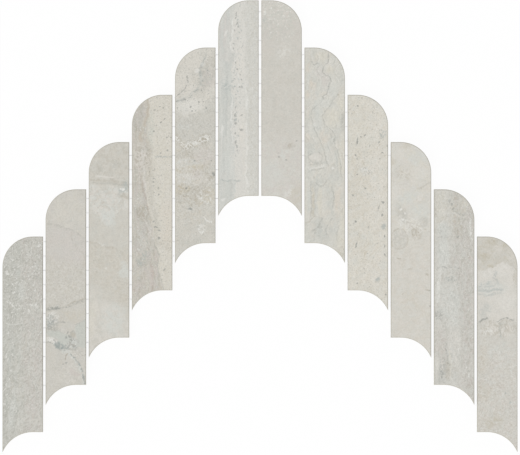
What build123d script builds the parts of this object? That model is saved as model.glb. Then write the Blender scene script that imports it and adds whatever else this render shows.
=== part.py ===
from build123d import *
import os
from math import sqrt

# Chevron mosaic sheet, in millimetres: porcelain strips with a round crown and a hollow foot, stepped down
# from a peak on both sides, and one mesh glued across their backs. It lies face up on Z = 0, with the peak
# towards +Y and the origin under the middle of the sheet.

# Strips
strips_per_leg = 6
tile_width = 29.6
tile_length = 143.2  # from the flat of the crown to the flat of the foot
tile_thickness = 9.0
crown_flat = 7.2  # straight stretch of the crown and foot, beside the joint that faces the peak
arris = 0.5  # eased edge round the face

# Layout
joint = 2.0  # grout joint between strips, and between a foot and the crown of the next sheet
step = 34.6  # how far each strip stands below its neighbour towards the peak

# Mesh
mesh_thickness = 0.5
mesh_margin = 4.0  # how far the mesh stays inside the outline of the strips

# Worked out from the sizes above
pitch = tile_width + joint
slope = step / pitch
crown_radius = tile_width - crown_flat
foot_radius = crown_radius + joint  # same centre as the crown that nests in it, so the joint is even
tip_drop = foot_radius - sqrt(foot_radius**2 - crown_radius**2)
sheet_height = (strips_per_leg - 1) * step + tile_length + tip_drop
half_width = strips_per_leg * pitch - joint / 2
peak_crown = sheet_height / 2
peak_foot = peak_crown - tile_length


def strip():
    """One strip of the right leg: its joint side on X = 0, its flat foot on Y = 0, its back on Z = 0."""
    foot_corner = (0, 0)
    foot_bend = (crown_flat, 0)
    foot_tip = (tile_width, -tip_drop)
    shoulder = (tile_width, tile_length - crown_radius)
    crown_bend = (crown_flat, tile_length)
    crown_corner = (0, tile_length)
    with BuildPart() as part:
        with BuildSketch():
            with BuildLine():
                Line(foot_corner, foot_bend)
                TangentArc(foot_bend, foot_tip, tangent=(1, 0))
                Line(foot_tip, shoulder)
                TangentArc(shoulder, crown_bend, tangent=(0, 1))
                Line(crown_bend, crown_corner)
                Line(crown_corner, foot_corner)
            make_face()
        extrude(amount=tile_thickness)
        face = part.faces().sort_by(Axis.Z)[-1]
        chamfer(face.edges(), length=arris)
    return part.part


def mesh_backing():
    """The mesh, cut to straight lines parallel to the legs, where it reaches no strip's crown or foot."""
    crown_line = peak_crown - mesh_margin + slope * joint / 2
    # Height above the flat foot at which a line along the leg just touches the hollow of the foot
    foot_touch = slope * crown_flat + foot_radius * (sqrt(1 + slope**2) - 1)
    foot_line = peak_foot + foot_touch + mesh_margin + slope * joint / 2
    end = half_width - mesh_margin
    fall = slope * end
    corners = [
        (0, crown_line),
        (end, crown_line - fall),
        (end, foot_line - fall),
        (0, foot_line),
        (-end, foot_line - fall),
        (-end, crown_line - fall),
    ]
    with BuildPart() as part:
        with BuildSketch():
            Polygon(*corners, align=None)
        extrude(amount=mesh_thickness)
    return part.part


def mosaic():
    """Every piece in its place, by name. Strips are numbered from the peak outwards."""
    right_strip = strip()
    pieces = {"mesh_backing": mesh_backing()}
    for number in range(strips_per_leg):
        place = Pos(joint / 2 + number * pitch, peak_foot - number * step, mesh_thickness)
        right = place * right_strip
        pieces[f"tile_right_{number + 1}"] = right
        pieces[f"tile_left_{number + 1}"] = mirror(right, about=Plane.YZ)
    return pieces


os.makedirs("parts", exist_ok=True)
for name, piece in mosaic().items():
    export_step(piece, f"parts/{name}.step")
    print(name, piece.bounding_box())
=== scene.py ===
# %% [markdown]
# # Chevron porcelain mosaic
# The real object is a sheet of twelve porcelain strips, each with a round crown and a hollow foot,
# stepped down from a peak and glued to one mesh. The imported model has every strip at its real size, so
# this lesson adds what the eye sees: the stone print on each face, the bare body on the cut sides, and
# the yarns of the mesh.

# %% Load the frame
import math
from types import SimpleNamespace

import bmesh
import bpy
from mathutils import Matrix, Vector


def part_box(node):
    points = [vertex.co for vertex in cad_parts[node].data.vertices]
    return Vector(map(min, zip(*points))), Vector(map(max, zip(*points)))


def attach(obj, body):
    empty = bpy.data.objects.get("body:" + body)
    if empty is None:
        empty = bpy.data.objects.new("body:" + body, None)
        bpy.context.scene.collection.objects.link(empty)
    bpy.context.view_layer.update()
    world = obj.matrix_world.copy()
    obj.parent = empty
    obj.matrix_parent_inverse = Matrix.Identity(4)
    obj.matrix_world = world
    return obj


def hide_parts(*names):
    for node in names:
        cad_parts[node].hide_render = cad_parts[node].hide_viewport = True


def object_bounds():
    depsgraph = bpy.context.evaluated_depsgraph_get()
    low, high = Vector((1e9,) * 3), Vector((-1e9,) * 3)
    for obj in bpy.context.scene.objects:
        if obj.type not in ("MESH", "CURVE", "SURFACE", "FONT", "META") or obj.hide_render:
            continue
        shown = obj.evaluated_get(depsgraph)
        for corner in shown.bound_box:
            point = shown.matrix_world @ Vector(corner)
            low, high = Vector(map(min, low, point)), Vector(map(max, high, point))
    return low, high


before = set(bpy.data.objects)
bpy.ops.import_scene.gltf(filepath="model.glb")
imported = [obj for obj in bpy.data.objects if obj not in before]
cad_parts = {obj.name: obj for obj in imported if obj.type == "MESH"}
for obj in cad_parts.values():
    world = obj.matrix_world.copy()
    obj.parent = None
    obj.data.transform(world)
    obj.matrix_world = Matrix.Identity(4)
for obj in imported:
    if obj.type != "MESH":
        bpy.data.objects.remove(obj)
cad_low, cad_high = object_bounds()
MM = 0.001
print("sheet in mm:", [round(side / MM, 1) for side in cad_high - cad_low])

# %% [markdown]
# The sheet lies on its back and the photograph looks straight down on it, with the peak at the top and no
# visible perspective. An orthographic camera would do that too, but a very long lens also frames other
# views well. Its distance follows from the width of the view on the printed face.

# %% Camera
VIEW_WIDTH = 380.8 * MM  # what the photograph's width covers on the printed face
VIEW_DROP = 0.9 * MM  # the middle of the photograph lies this far below the middle of the sheet
LENS = 1000.0  # millimetres
SIGHT_END = 100.0  # metres
lens = bpy.data.cameras.new("long_lens")
lens.lens = LENS
lens.clip_end = SIGHT_END
camera = bpy.data.objects.new("camera", lens)
camera_distance = VIEW_WIDTH * LENS / lens.sensor_width
camera.location = (0.0, -VIEW_DROP, cad_high.z + camera_distance)
bpy.context.scene.collection.objects.link(camera)
bpy.context.scene.camera = camera
bpy.context.scene.view_settings.view_transform = "Standard"
print("camera height in metres:", round(camera.location.z, 2))

# %% [markdown]
# Every shader in this lesson is a tree of nodes. One small function adds a node, gives it its settings
# and fills its inputs, by name or number, with either a value or a link. Colours are written as sRGB hex,
# as they look on the screen, and turned to the linear values that Blender works in.

# %% Colours and nodes
def linear(hex_colour):
    """Turn an sRGB hex colour into linear red, green, blue and alpha."""
    shares = [int(hex_colour[start:start + 2], 16) / 255 for start in (1, 3, 5)]
    return [s / 12.92 if s <= 0.04045 else ((s + 0.055) / 1.055) ** 2.4 for s in shares] + [1.0]


def add(tree, kind, inputs=None, **settings):
    """Add a node with its settings, and link or set its inputs."""
    node = tree.nodes.new(kind)
    for name, value in settings.items():
        setattr(node, name, value)
    for key, value in (inputs or {}).items():
        if isinstance(value, bpy.types.NodeSocket):
            tree.links.new(value, node.inputs[key])
        else:
            node.inputs[key].default_value = value
    return node


print("the middle grey of the screen is", round(linear("#808080")[0], 3), "in linear light")

# %% [markdown]
# The studio is a pale floor under an even white sky, with one broad lamp from the upper left so that the
# sides and eased edges show. The photograph's background is plain white, so rays that come from the
# camera see the floor mostly as white, while the rest of its shading stays and carries the shadow of the
# sheet.

# %% Floor
FLOOR_HALF = 30.0  # metres
FLOOR_WHITE = 0.96  # how much of the floor the camera sees as plain white


def add_seen_directly(tree):
    """A mask of the rays that the camera sees, straight or through gloss and glass."""
    path = add(tree, "ShaderNodeLightPath")
    seen = path.outputs["Is Camera Ray"]
    for kind in ("Is Glossy Ray", "Is Transmission Ray"):
        seen = add(tree, "ShaderNodeMath", {0: seen, 1: path.outputs[kind]}, operation="MAXIMUM").outputs[0]
    return seen


floor_mesh = bpy.data.meshes.new("floor")
shape = bmesh.new()
bmesh.ops.create_grid(shape, x_segments=1, y_segments=1, size=FLOOR_HALF)
shape.to_mesh(floor_mesh)
shape.free()
floor = bpy.data.objects.new("floor", floor_mesh)
bpy.context.scene.collection.objects.link(floor)

# Matt white paint looks the same from every side and has no shine.
paint = bpy.data.materials.new("white_studio_paint")
paint.use_nodes = True
tree = paint.node_tree
tree.nodes.clear()
matt = add(tree, "ShaderNodeBsdfDiffuse", {"Color": linear("#fcfcfc")}).outputs[0]
white = add(tree, "ShaderNodeEmission", {"Color": linear("#ffffff"), "Strength": 1.0}).outputs[0]
part_white = {0: add_seen_directly(tree), 1: FLOOR_WHITE}
share = add(tree, "ShaderNodeMath", part_white, operation="MULTIPLY").outputs[0]
mixed = add(tree, "ShaderNodeMixShader", {0: share, 1: matt, 2: white}).outputs[0]
add(tree, "ShaderNodeOutputMaterial", {"Surface": mixed})
floor_mesh.materials.append(paint)
print("floor is", 2 * FLOOR_HALF, "metres wide")

# %% Sky
SKY_LEVEL = 0.75
sky = bpy.data.worlds.new("even_sky")
sky.use_nodes = True
tree = sky.node_tree
tree.nodes.clear()
seen_white = {"Value": add_seen_directly(tree), "To Min": SKY_LEVEL, "To Max": 1.0}
level = add(tree, "ShaderNodeMapRange", seen_white).outputs[0]
glow = add(tree, "ShaderNodeBackground", {"Color": linear("#ffffff"), "Strength": level}).outputs[0]
add(tree, "ShaderNodeOutputWorld", {"Surface": glow})
bpy.context.scene.world = sky
print("light from the sky:", SKY_LEVEL)

# %% Lamp
LAMP_LEVEL = 0.87
LAMP_TILT = math.radians(40)
LAMP_TURN = math.radians(-35)
LAMP_SPREAD = math.radians(30)
lamp = bpy.data.lights.new("broad_lamp", "SUN")
lamp.energy = LAMP_LEVEL
lamp.angle = LAMP_SPREAD
lamp_object = bpy.data.objects.new("broad_lamp", lamp)
lamp_object.rotation_euler = (LAMP_TILT, 0.0, LAMP_TURN)
bpy.context.scene.collection.objects.link(lamp_object)
face_light = SKY_LEVEL + LAMP_LEVEL * math.cos(LAMP_TILT) / math.pi
print("light on a flat face:", round(face_light, 3))

# %% [markdown]
# The strips are cut from porcelain slabs with a travertine print. Each face shows another part of the
# stone, so each strip has a material of its own. One picture for all would be quicker, but it would
# repeat. All faces are printed with the same few inks, and a face is made as the printer makes it: a
# ground shade, and then layers of ink, each laid through a mask.

# %% Inks
CHALK = "#e7e6e0"
IVORY = "#dedad2"
SHELL = "#e2ddd3"
CREAM = "#dbd6c8"
PEACH = "#d9d0c2"
SAND = "#cdc9bd"
BUFF = "#c5bdab"
CLAY = "#b9ada1"
TAUPE = "#bab6ab"
UMBER = "#a89f8d"
ROSE = "#cfc8c2"
BLUSH = "#cbc1bb"
MIST = "#d3d5cf"
PEWTER = "#bfc2bc"
SLATE = "#a4aca9"
LICHEN = "#bdc2b8"
FLINT = "#a3a39b"
DEEP_SLATE = "#8b9795"
ASH = "#afaea5"
PIT = "#858883"
# Painted shade: the eased edge is the body colour made darker, so that it shows as a dark rim on every side
# of a face.
SHADED_ARRIS = "#bcb8ac"
BODY = "#d3d0c7"
print("inks from", CHALK, "to", PIT)

# %% [markdown]
# A face starts with its ground shade and its own millimetre grid: across from its left side and down from
# its crown. The grid comes from Object coordinates, which a CAD part shares with the whole sheet. Drawn
# marks read a grid that wanders by about a millimetre, and broad patches one that wanders further,
# because nothing in stone has a clean edge.

# %% Start a face
WANDER_SIZE = 7.0  # in millimetres, as every size of the print
MARK_WANDER = 6.0
PATCH_WANDER = 18.0
SEEDS_PER_STRIP = 50.0


def start_face(strip, ground):
    """A new material for one strip, with its grids and its ground shade."""
    low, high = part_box(strip)
    # Matt porcelain with a printed glaze shows soft, even shades and no clear reflection.
    material = bpy.data.materials.new("matt_porcelain_" + strip)
    material.use_nodes = True
    tree = material.node_tree
    tree.nodes.clear()
    metres = add(tree, "ShaderNodeTexCoord").outputs["Object"]
    corner = {"Location": (-low.x / MM, high.y / MM, 0.0), "Scale": (1 / MM, -1 / MM, 0.0)}
    place = add(tree, "ShaderNodeMapping", {"Vector": metres, **corner}).outputs[0]
    seed = sorted(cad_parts).index(strip) * SEEDS_PER_STRIP
    settings = {"Vector": place, "W": seed, "Scale": 1 / WANDER_SIZE, "Detail": 4.0, "Roughness": 0.7}
    noise = add(tree, "ShaderNodeTexNoise", settings, noise_dimensions="4D").outputs["Color"]
    from_middle = {0: noise, 1: (0.5, 0.5, 0.5)}
    swing = add(tree, "ShaderNodeVectorMath", from_middle, operation="SUBTRACT").outputs[0]
    grids = []
    for wander in (MARK_WANDER, PATCH_WANDER):
        reach = {0: swing, 1: (wander, wander, 0.0), 2: place}
        grids.append(add(tree, "ShaderNodeVectorMath", reach, operation="MULTIPLY_ADD").outputs[0])
    return SimpleNamespace(
        strip=strip, material=material, tree=tree, metres=metres, mark_grid=grids[0], patch_grid=grids[1],
        seed=seed, colour=linear(ground),
    )


def ink(face, shade, strength, *masks):
    """Lay a shade over the face, as strongly as the masks and the strength allow together."""
    cover = strength
    for mask in masks:
        cover = add(face.tree, "ShaderNodeMath", {0: mask, 1: cover}, operation="MULTIPLY").outputs[0]
    layers = {0: cover, 6: face.colour, 7: linear(shade)}
    face.colour = add(face.tree, "ShaderNodeMix", layers, data_type="RGBA").outputs[2]


print("faces to print:", sum(name.startswith("tile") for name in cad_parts))

# %% [markdown]
# Most of the print is mottle: soft patches of another shade, some round like clouds and some drawn out
# along the bedding of the stone. Noise gives both, and small scarce patches of it make good flecks and
# pits. The Mapping node is set to Texture, so its scale is the size of a patch in millimetres and its
# rotation turns the patches themselves.

# %% Clouds and mottle
FINEST = 0.5  # no patch has detail under this many millimetres, because it would not show
NOISE_SPREAD = 0.36  # how far the noise reaches, from where it covers nothing to where it covers all
MOTTLE_SIZES = (7.0, 2.6)
MOTTLE_SHARE = 0.4
MOTTLE_SEED = 40


def cloud(face, size, share=0.5, soft=0.1, stretch=1.0, turn=0.0, seed=0, swirl=0.0):
    """Patches of about that size, drawn out down the strip by stretch, over about that share of the face."""
    patch = {"Rotation": (0, 0, math.radians(turn)), "Scale": (size, size * stretch, 1.0)}
    spread = add(face.tree, "ShaderNodeMapping", {"Vector": face.mark_grid, **patch}, vector_type="TEXTURE")
    settings = {
        "Vector": spread.outputs[0], "W": face.seed + seed, "Scale": 1.0,
        "Detail": max(0.0, math.log2(size * min(stretch, 1.0) / FINEST)), "Roughness": 0.6,
        "Distortion": swirl,
    }
    noise = add(face.tree, "ShaderNodeTexNoise", settings, noise_dimensions="4D").outputs[0]
    level = 0.5 + NOISE_SPREAD * (0.5 - share)
    limits = {"Value": noise, "From Min": level - soft, "From Max": level + soft}
    return add(face.tree, "ShaderNodeMapRange", limits, interpolation_type="SMOOTHSTEP").outputs[0]


def mottle(face, strength, stretch=1.0, turn=0.0, shades=(UMBER, SLATE, IVORY, MIST)):
    """The cloudiness of the stone itself: warm, cool and pale patches, each in two sizes."""
    for number, shade in enumerate(shades):
        for size in MOTTLE_SIZES:
            seed = MOTTLE_SEED + number + size
            ink(face, shade, strength, cloud(face, size, MOTTLE_SHARE, 0.12, stretch, turn, seed))


print("mottle in patches of", MOTTLE_SIZES, "mm")

# %% [markdown]
# Some marks have a place of their own. A blot is an ellipse: a Mapping node moves, turns and shrinks it
# to a circle, and a spherical Gradient Texture falls off from its middle. A ring is the rim of such an
# ellipse. Broad blots read the grid that wanders further, and those with the mark choice read the
# steadier one, so that they sit where they are drawn. A painted picture would hold such marks too, but
# numbers are easier to move.

# %% Blots and rings
CORE = 0.2  # the share of a narrow mark's width that gets all the ink


def nearness(face, across, down, wide, tall, turn, mark):
    """A value that falls from 1 at a point to 0.5 on an ellipse of that width and height, and to 0 beyond."""
    ellipse = {
        "Location": (across, down, 0.0), "Rotation": (0, 0, math.radians(turn)), "Scale": (wide, tall, 1.0),
    }
    grid = face.mark_grid if mark else face.patch_grid
    local = add(face.tree, "ShaderNodeMapping", {"Vector": grid, **ellipse}, vector_type="TEXTURE").outputs[0]
    return add(face.tree, "ShaderNodeTexGradient", {"Vector": local}, gradient_type="SPHERICAL").outputs[1]


def blot(face, across, down, wide, tall, turn=0.0, soft=0.5, mark=False):
    """An ellipse of that width and height around a point, with a soft rim, ragged or neater."""
    near = nearness(face, across, down, wide, tall, turn, mark)
    limits = {"Value": near, "From Min": 0.5 - soft / 2, "From Max": 0.5 + soft / 2}
    return add(face.tree, "ShaderNodeMapRange", limits, interpolation_type="SMOOTHSTEP").outputs[0]


def ring(face, across, down, wide, tall, width, turn=0.0):
    """The rim of such an ellipse, about that many millimetres wide."""
    near = nearness(face, across, down, wide, tall, turn, True)
    past = add(face.tree, "ShaderNodeMath", {0: near, 1: 0.5}, operation="SUBTRACT").outputs[0]
    gap = add(face.tree, "ShaderNodeMath", {0: past}, operation="ABSOLUTE").outputs[0]
    reach = 2 * width / (wide + tall)
    rim = {"Value": gap, "From Min": reach, "From Max": reach * CORE}
    return add(face.tree, "ShaderNodeMapRange", rim, interpolation_type="SMOOTHSTEP").outputs[0]


def specks(face, *spots):
    """Specks placed one by one, each as (across, down, wide, tall) with a turn where it slants."""
    mask = 0.0
    for spot in spots:
        speck = blot(face, *spot, soft=0.6, mark=True)
        mask = add(face.tree, "ShaderNodeMath", {0: speck, 1: mask}, operation="MAXIMUM").outputs[0]
    return mask


print("narrow marks have all their ink over", CORE, "of their width")

# %% [markdown]
# Beds of the stone meet along a line. A side is everything right of, left of, below or above a drawn
# line. The line is a Float Curve through a few points, so it stays smooth and easy to move, and the grid
# makes it ragged.

# %% Sides of a line
CURVE_SPAN = 180.0  # the Float Curve works from 0 to 1, which stands for this many millimetres
CURVE_START = -10.0


def from_line(face, grid, points, level):
    """Distance to the right of a line through points given as (across, down), or below a level line."""
    across, down, _ = add(face.tree, "ShaderNodeSeparateXYZ", {0: grid}).outputs
    along, off = (across, down) if level else (down, across)
    run = {"Value": along, "From Min": CURVE_START, "From Max": CURVE_START + CURVE_SPAN}
    share = add(face.tree, "ShaderNodeMapRange", run).outputs[0]
    curve = add(face.tree, "ShaderNodeFloatCurve", {"Value": share})
    drawn = [(a, d) if level else (d, a) for a, d in points]
    spots = [[(value - CURVE_START) / CURVE_SPAN for value in pair] for pair in drawn]
    knots = curve.mapping.curves[0].points
    knots[0].location = spots[0]
    knots[1].location = spots[-1]
    for spot in spots[1:-1]:
        knots.new(*spot)
    curve.mapping.extend = "HORIZONTAL"
    curve.mapping.update()
    back = {0: curve.outputs[0], 1: CURVE_SPAN, 2: CURVE_START}
    line = add(face.tree, "ShaderNodeMath", back, operation="MULTIPLY_ADD").outputs[0]
    return add(face.tree, "ShaderNodeMath", {0: off, 1: line}, operation="SUBTRACT").outputs[0]


def side(face, where, points, soft=1.0, mark=False):
    """Everything right of, left of, below or above a line, with a ragged rim or a neater one."""
    grid = face.mark_grid if mark else face.patch_grid
    distance = from_line(face, grid, points, where in ("below", "above"))
    rim = soft if where in ("right", "below") else -soft
    limits = {"Value": distance, "From Min": -rim, "From Max": rim}
    return add(face.tree, "ShaderNodeMapRange", limits, interpolation_type="SMOOTHSTEP").outputs[0]


print("lines can be drawn from", CURVE_START, "to", CURVE_START + CURVE_SPAN, "mm")

# %% [markdown]
# Cracks in the stone have filled up with other minerals. A vein is such a narrow mark along a line, and
# bands are a whole set of them, one beside the other, as in agate. Both use the same drawn line as a
# side, and fade out past its first and last point.

# %% Veins and bands
def fade_ends(face, mask, points, level, fade):
    """Let a mark along a line fade out past its first and last point."""
    along = add(face.tree, "ShaderNodeSeparateXYZ", {0: face.mark_grid}).outputs[0 if level else 1]
    ends = [point[0 if level else 1] for point in (points[0], points[-1])]
    for end, outside in zip(ends, (-fade, fade)):
        limits = {"Value": along, "From Min": end + outside, "From Max": end}
        inside = add(face.tree, "ShaderNodeMapRange", limits, interpolation_type="SMOOTHSTEP").outputs[0]
        mask = add(face.tree, "ShaderNodeMath", {0: mask, 1: inside}, operation="MULTIPLY").outputs[0]
    return mask


def vein(face, run, points, width, fade=2.0):
    """A narrow mark along a line that runs down or across the face."""
    level = run == "across"
    distance = from_line(face, face.mark_grid, points, level)
    gap = add(face.tree, "ShaderNodeMath", {0: distance}, operation="ABSOLUTE").outputs[0]
    mark = {"Value": gap, "From Min": width, "From Max": width * CORE}
    mask = add(face.tree, "ShaderNodeMapRange", mark, interpolation_type="SMOOTHSTEP").outputs[0]
    return fade_ends(face, mask, points, level, fade)


def bands(face, run, points, spacing, width, fade=2.0):
    """Narrow marks one beside the other, all along a line that runs down or across the face."""
    level = run == "across"
    distance = from_line(face, face.mark_grid, points, level)
    gap = add(face.tree, "ShaderNodeMath", {0: distance, 1: spacing / 2}, operation="PINGPONG").outputs[0]
    mark = {"Value": gap, "From Min": width, "From Max": width * CORE}
    mask = add(face.tree, "ShaderNodeMapRange", mark, interpolation_type="SMOOTHSTEP").outputs[0]
    return fade_ends(face, mask, points, level, fade)


def beside(points, step):
    """The same line, moved across the face by a step."""
    return [(across + step, down) for across, down in points]


# %% [markdown]
# Crystals leave thin, wandering lines between them. Where a noise crosses its middle value it draws just
# such a line, so a narrow band around that value is enough. Small bright crystals are scarce clouds, each
# over a wider and darker one.

# %% Squiggles, crystals and flecks
NOISE_SLOPE = 0.3  # about how much the noise changes over the size of a patch
LINE_CORE = 0.3  # the share of a squiggle's width that gets all the ink
DARK_LINE = 0.8
PALE_LINE = 0.7
CRYSTAL_SEED = 30
SURROUND_STRENGTH = 0.55  # how strong the dark surround of a fleck is, beside the fleck
SURROUND_SHARE = 0.3  # how much more of the face it covers


def squiggles(face, size, width, stretch=1.0, turn=0.0, seed=0):
    """Thin lines that wind around patches of about that size."""
    patch = {"Rotation": (0, 0, math.radians(turn)), "Scale": (size, size * stretch, 1.0)}
    spread = add(face.tree, "ShaderNodeMapping", {"Vector": face.mark_grid, **patch}, vector_type="TEXTURE")
    settings = {"Vector": spread.outputs[0], "W": face.seed + seed, "Scale": 1.0, "Detail": 2.0}
    noise = add(face.tree, "ShaderNodeTexNoise", settings, noise_dimensions="4D").outputs[0]
    past = add(face.tree, "ShaderNodeMath", {0: noise, 1: 0.5}, operation="SUBTRACT").outputs[0]
    gap = add(face.tree, "ShaderNodeMath", {0: past}, operation="ABSOLUTE").outputs[0]
    reach = NOISE_SLOPE * width / size
    mark = {"Value": gap, "From Min": reach, "From Max": reach * LINE_CORE}
    return add(face.tree, "ShaderNodeMapRange", mark, interpolation_type="SMOOTHSTEP").outputs[0]


def crystals(face, strength, size, *masks, stretch=1.0, turn=0.0, pale=CHALK, dark=ASH):
    """Fine dark and pale lines that wind around crystals of about that size."""
    ink(face, dark, strength, squiggles(face, size, DARK_LINE, stretch, turn, CRYSTAL_SEED), *masks)
    ink(face, pale, strength, squiggles(face, size, PALE_LINE, stretch, turn, CRYSTAL_SEED + 1), *masks)


def flecks(face, strength, size, share, turn, seed, *masks, stretch=1.8):
    """Small bright crystals, each in a darker surround."""
    surround = cloud(face, size, share + SURROUND_SHARE, 0.06, stretch, turn, seed)
    ink(face, ASH, strength * SURROUND_STRENGTH, surround, *masks)
    ink(face, CHALK, strength, cloud(face, size, share, 0.05, stretch, turn, seed), *masks)


print("crystal lines are", DARK_LINE, "and", PALE_LINE, "mm wide")

# %% [markdown]
# Every face ends alike. A fine grain breaks up the ink, and it is drawn about as coarse as a pixel of the
# photograph because the real dots would not show. The relief follows the print, as on a tile whose pits
# are pressed where they are printed. The eased edge and the cut sides show the bare body, and the eased
# edge is painted darker, as shade along the rim of each face. The height above the floor tells them
# apart. The water jet that cuts such shapes leaves upright marks on the sides, and a flat pattern gives
# just those, because the grid has no height. The finish is matt.

# %% Finish a face
FACE_HEIGHT = cad_high.z
ARRIS_DEPTH = 0.5 * MM
EDGE_SIZE = 0.02 * MM
GRAIN_SIZE = 1.0
GRAIN_SHARE = 0.45
CUT_MARK = 1.4
RELIEF = 1.0 * MM
DARK_ROUGHNESS = 0.72
PALE_ROUGHNESS = 0.5


def finish_face(face, grain):
    """Add the grain, the relief, the bare body and the matt finish, and put the material on its strip."""
    tree = face.tree
    ink(face, PIT, grain, cloud(face, GRAIN_SIZE, GRAIN_SHARE, seed=48))
    ink(face, CHALK, grain, cloud(face, GRAIN_SIZE, GRAIN_SHARE, seed=49))
    print_depth = add(tree, "ShaderNodeRGBToBW", {0: face.colour}).outputs[0]
    pressed = {"Height": print_depth, "Strength": 0.3, "Distance": RELIEF}
    bump = add(tree, "ShaderNodeBump", pressed).outputs[0]
    sheen = {"Value": print_depth, "To Min": DARK_ROUGHNESS, "To Max": PALE_ROUGHNESS}
    rough = add(tree, "ShaderNodeMapRange", sheen).outputs[0]
    height = add(tree, "ShaderNodeSeparateXYZ", {0: face.metres}).outputs[2]
    # The eased edge gets its darker colour as painted shade along the rim, and the cut sides below it get the
    # bare body.
    for shade, top in ((SHADED_ARRIS, FACE_HEIGHT - EDGE_SIZE), (BODY, FACE_HEIGHT - ARRIS_DEPTH)):
        limits = {"Value": height, "From Min": top, "From Max": top - EDGE_SIZE}
        below = add(tree, "ShaderNodeMapRange", limits).outputs[0]
        ink(face, shade, 1.0, below)
    ink(face, ASH, 0.35, below, cloud(face, CUT_MARK, GRAIN_SHARE, 0.12, seed=47))
    surface = {"Base Color": face.colour, "Roughness": rough, "Normal": bump, "IOR": 1.5}
    shader = add(tree, "ShaderNodeBsdfPrincipled", surface).outputs[0]
    add(tree, "ShaderNodeOutputMaterial", {"Surface": shader})
    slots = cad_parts[face.strip].data.materials
    slots.clear()
    slots.append(face.material)
    print(face.strip, "has", len(tree.nodes), "nodes")


print("bare body shows below", round((FACE_HEIGHT - EDGE_SIZE) / MM, 2), "mm")

# %% [markdown]
# Now the faces, from the left end of the sheet to the right. Places are read off the photograph, in
# millimetres across from the left side of the strip and down from its crown.

# %% [markdown]
# This face is cut across the bedding of the stone. Grey streaks run down it, greener on the left and
# pinker on the right, under a scatter of pale crystals. Streaks are clouds that are drawn out down the
# strip, and the brightest crystals are placed one by one.

# %% Left strip 6: grey and vein-cut, with pale flecks
face = start_face("tile_left_6", "#c3c1b8")
left_half = side(face, "left", [(13, 0), (12, 60), (11, 110), (10, 158)], 3.0)
right_half = side(face, "right", [(15, 0), (14, 60), (16, 110), (17, 158)], 3.0)
rough_top = side(face, "above", [(0, 66), (30, 74)], 6.0)
clusters = cloud(face, 6.0, 0.6, 0.12, seed=10)
mottle(face, 0.14, 2.5)
ink(face, LICHEN, 0.60, left_half, cloud(face, 2.6, 0.5, 0.12, 5.0, seed=1))
ink(face, ASH, 0.55, left_half, cloud(face, 2.2, 0.45, 0.10, 5.0, seed=2))
ink(face, BLUSH, 0.55, right_half, cloud(face, 3.4, 0.55, 0.12, 5.0, seed=3))
ink(face, CLAY, 0.30, right_half, cloud(face, 1.8, 0.35, 0.10, 5.0, seed=8))
ink(face, SAND, 0.50, cloud(face, 1.8, 0.35, 0.10, 8.0, seed=11))
ink(face, SLATE, 0.35, specks(face, (6.5, 88, 4, 26)), cloud(face, 1.6, 0.5, 0.12, 8.0, seed=4))
ink(face, MIST, 0.75, specks(face, (13.4, 41, 5, 12, 8), (12, 26, 3, 7, 30), (7, 128, 4, 26, 8)))
ink(face, ASH, 0.65, blot(face, 5.2, 57.0, 8.5, 11.0, soft=0.3, mark=True))
ink(face, ASH, 0.60, specks(face, (1.5, 120, 3, 70), (2, 32, 3, 24)))
ink(face, PIT, 0.40,
    specks(face, (20, 45, 2.4, 2.0), (25, 30, 2.2, 1.6), (6.5, 41, 1.6, 2.2), (28, 6, 1.6, 2.4)))

# %% Left strip 6: the crystals and flecks
crystals(face, 0.32, 2.4, stretch=2.0, turn=30.0)
flecks(face, 0.85, 1.6, 0.24, 40.0, 5, rough_top, clusters, stretch=2.2)
flecks(face, 0.60, 1.5, 0.14, -35.0, 6, rough_top, stretch=2.2)
flecks(face, 0.85, 1.6, 0.22, 25.0, 7, left_half, clusters, stretch=2.2)
flecks(face, 0.40, 1.6, 0.14, 15.0, 9)
ink(face, CHALK, 0.90, specks(
    face, (6.8, 17.2, 1.4, 2.6, 35), (10.9, 20.9, 1.3, 2.8, 35), (17.3, 6.2, 1.6, 2.8, 30),
    (21.4, 7.6, 1.3, 1.8, -30), (20.5, 13.5, 1.2, 1.4), (10.5, 33.7, 1.3, 2.6, 35),
    (12.7, 35.5, 1.0, 2.0, 35), (20, 31.4, 1.4, 1.4, -40), (19.4, 39, 1.6, 1.2),
    (19.2, 54.7, 1.3, 2.4, 35), (22.8, 59.3, 1.2, 1.6), (4, 70.7, 1.2, 2.2, 40), (2.7, 52.9, 1.6, 1.4),
    (28.3, 53.4, 1.0, 2.0, -40), (20, 70.3, 1.4, 1.4),
), cloud(face, 1.2, 0.55, 0.08, seed=12))
ink(face, CHALK, 0.80,
    vein(face, "across", [(4.5, 48.4), (8.6, 51.4), (11, 53), (14.6, 50.4), (22, 50.2)], 0.8), clusters)
ink(face, CHALK, 0.50, vein(face, "across", [(3, 64), (12, 64.2)], 0.6))
finish_face(face, 0.17)

# %% [markdown]
# A calm face with a broken slate vein across it and a lump of slate below. The calm part needs only faint
# clouds, while the lump is built up from many small marks, from the largest to the finest.

# %% Left strip 5: calm greige with a broken slate vein
SEA_GREY = "#c5c7bf"
face = start_face("tile_left_5", "#cfcbc3")
broken = cloud(face, 2.5, 0.6, 0.10, seed=1)
pink_top = side(face, "below", [(0, 25), (14, 29), (30, 37)], 2.0)
pink_foot = side(face, "above", [(0, 54), (30, 58)], 5.0)
lower = side(face, "below", [(0, 50), (30, 54)], 5.0)
above_vein = side(face, "above", [(0, 88), (17, 85), (30, 79)], 2.0)
main_vein = [(0, 87.8), (4, 87), (12, 87), (17, 85.4), (22, 83), (30, 80.6)]
foot_vein = [(18, 121), (22.5, 124.6), (24.5, 128), (27.1, 132.6), (27.6, 137), (29.3, 143)]
mottle(face, 0.11)
ink(face, CREAM, 0.35, side(face, "above", [(0, 26), (14, 29), (30, 38)], 2.0),
    cloud(face, 8.0, 0.55, 0.15, seed=3))
ink(face, ROSE, 0.45, pink_top, pink_foot, cloud(face, 6.0, 0.65, 0.2, seed=14))
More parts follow.
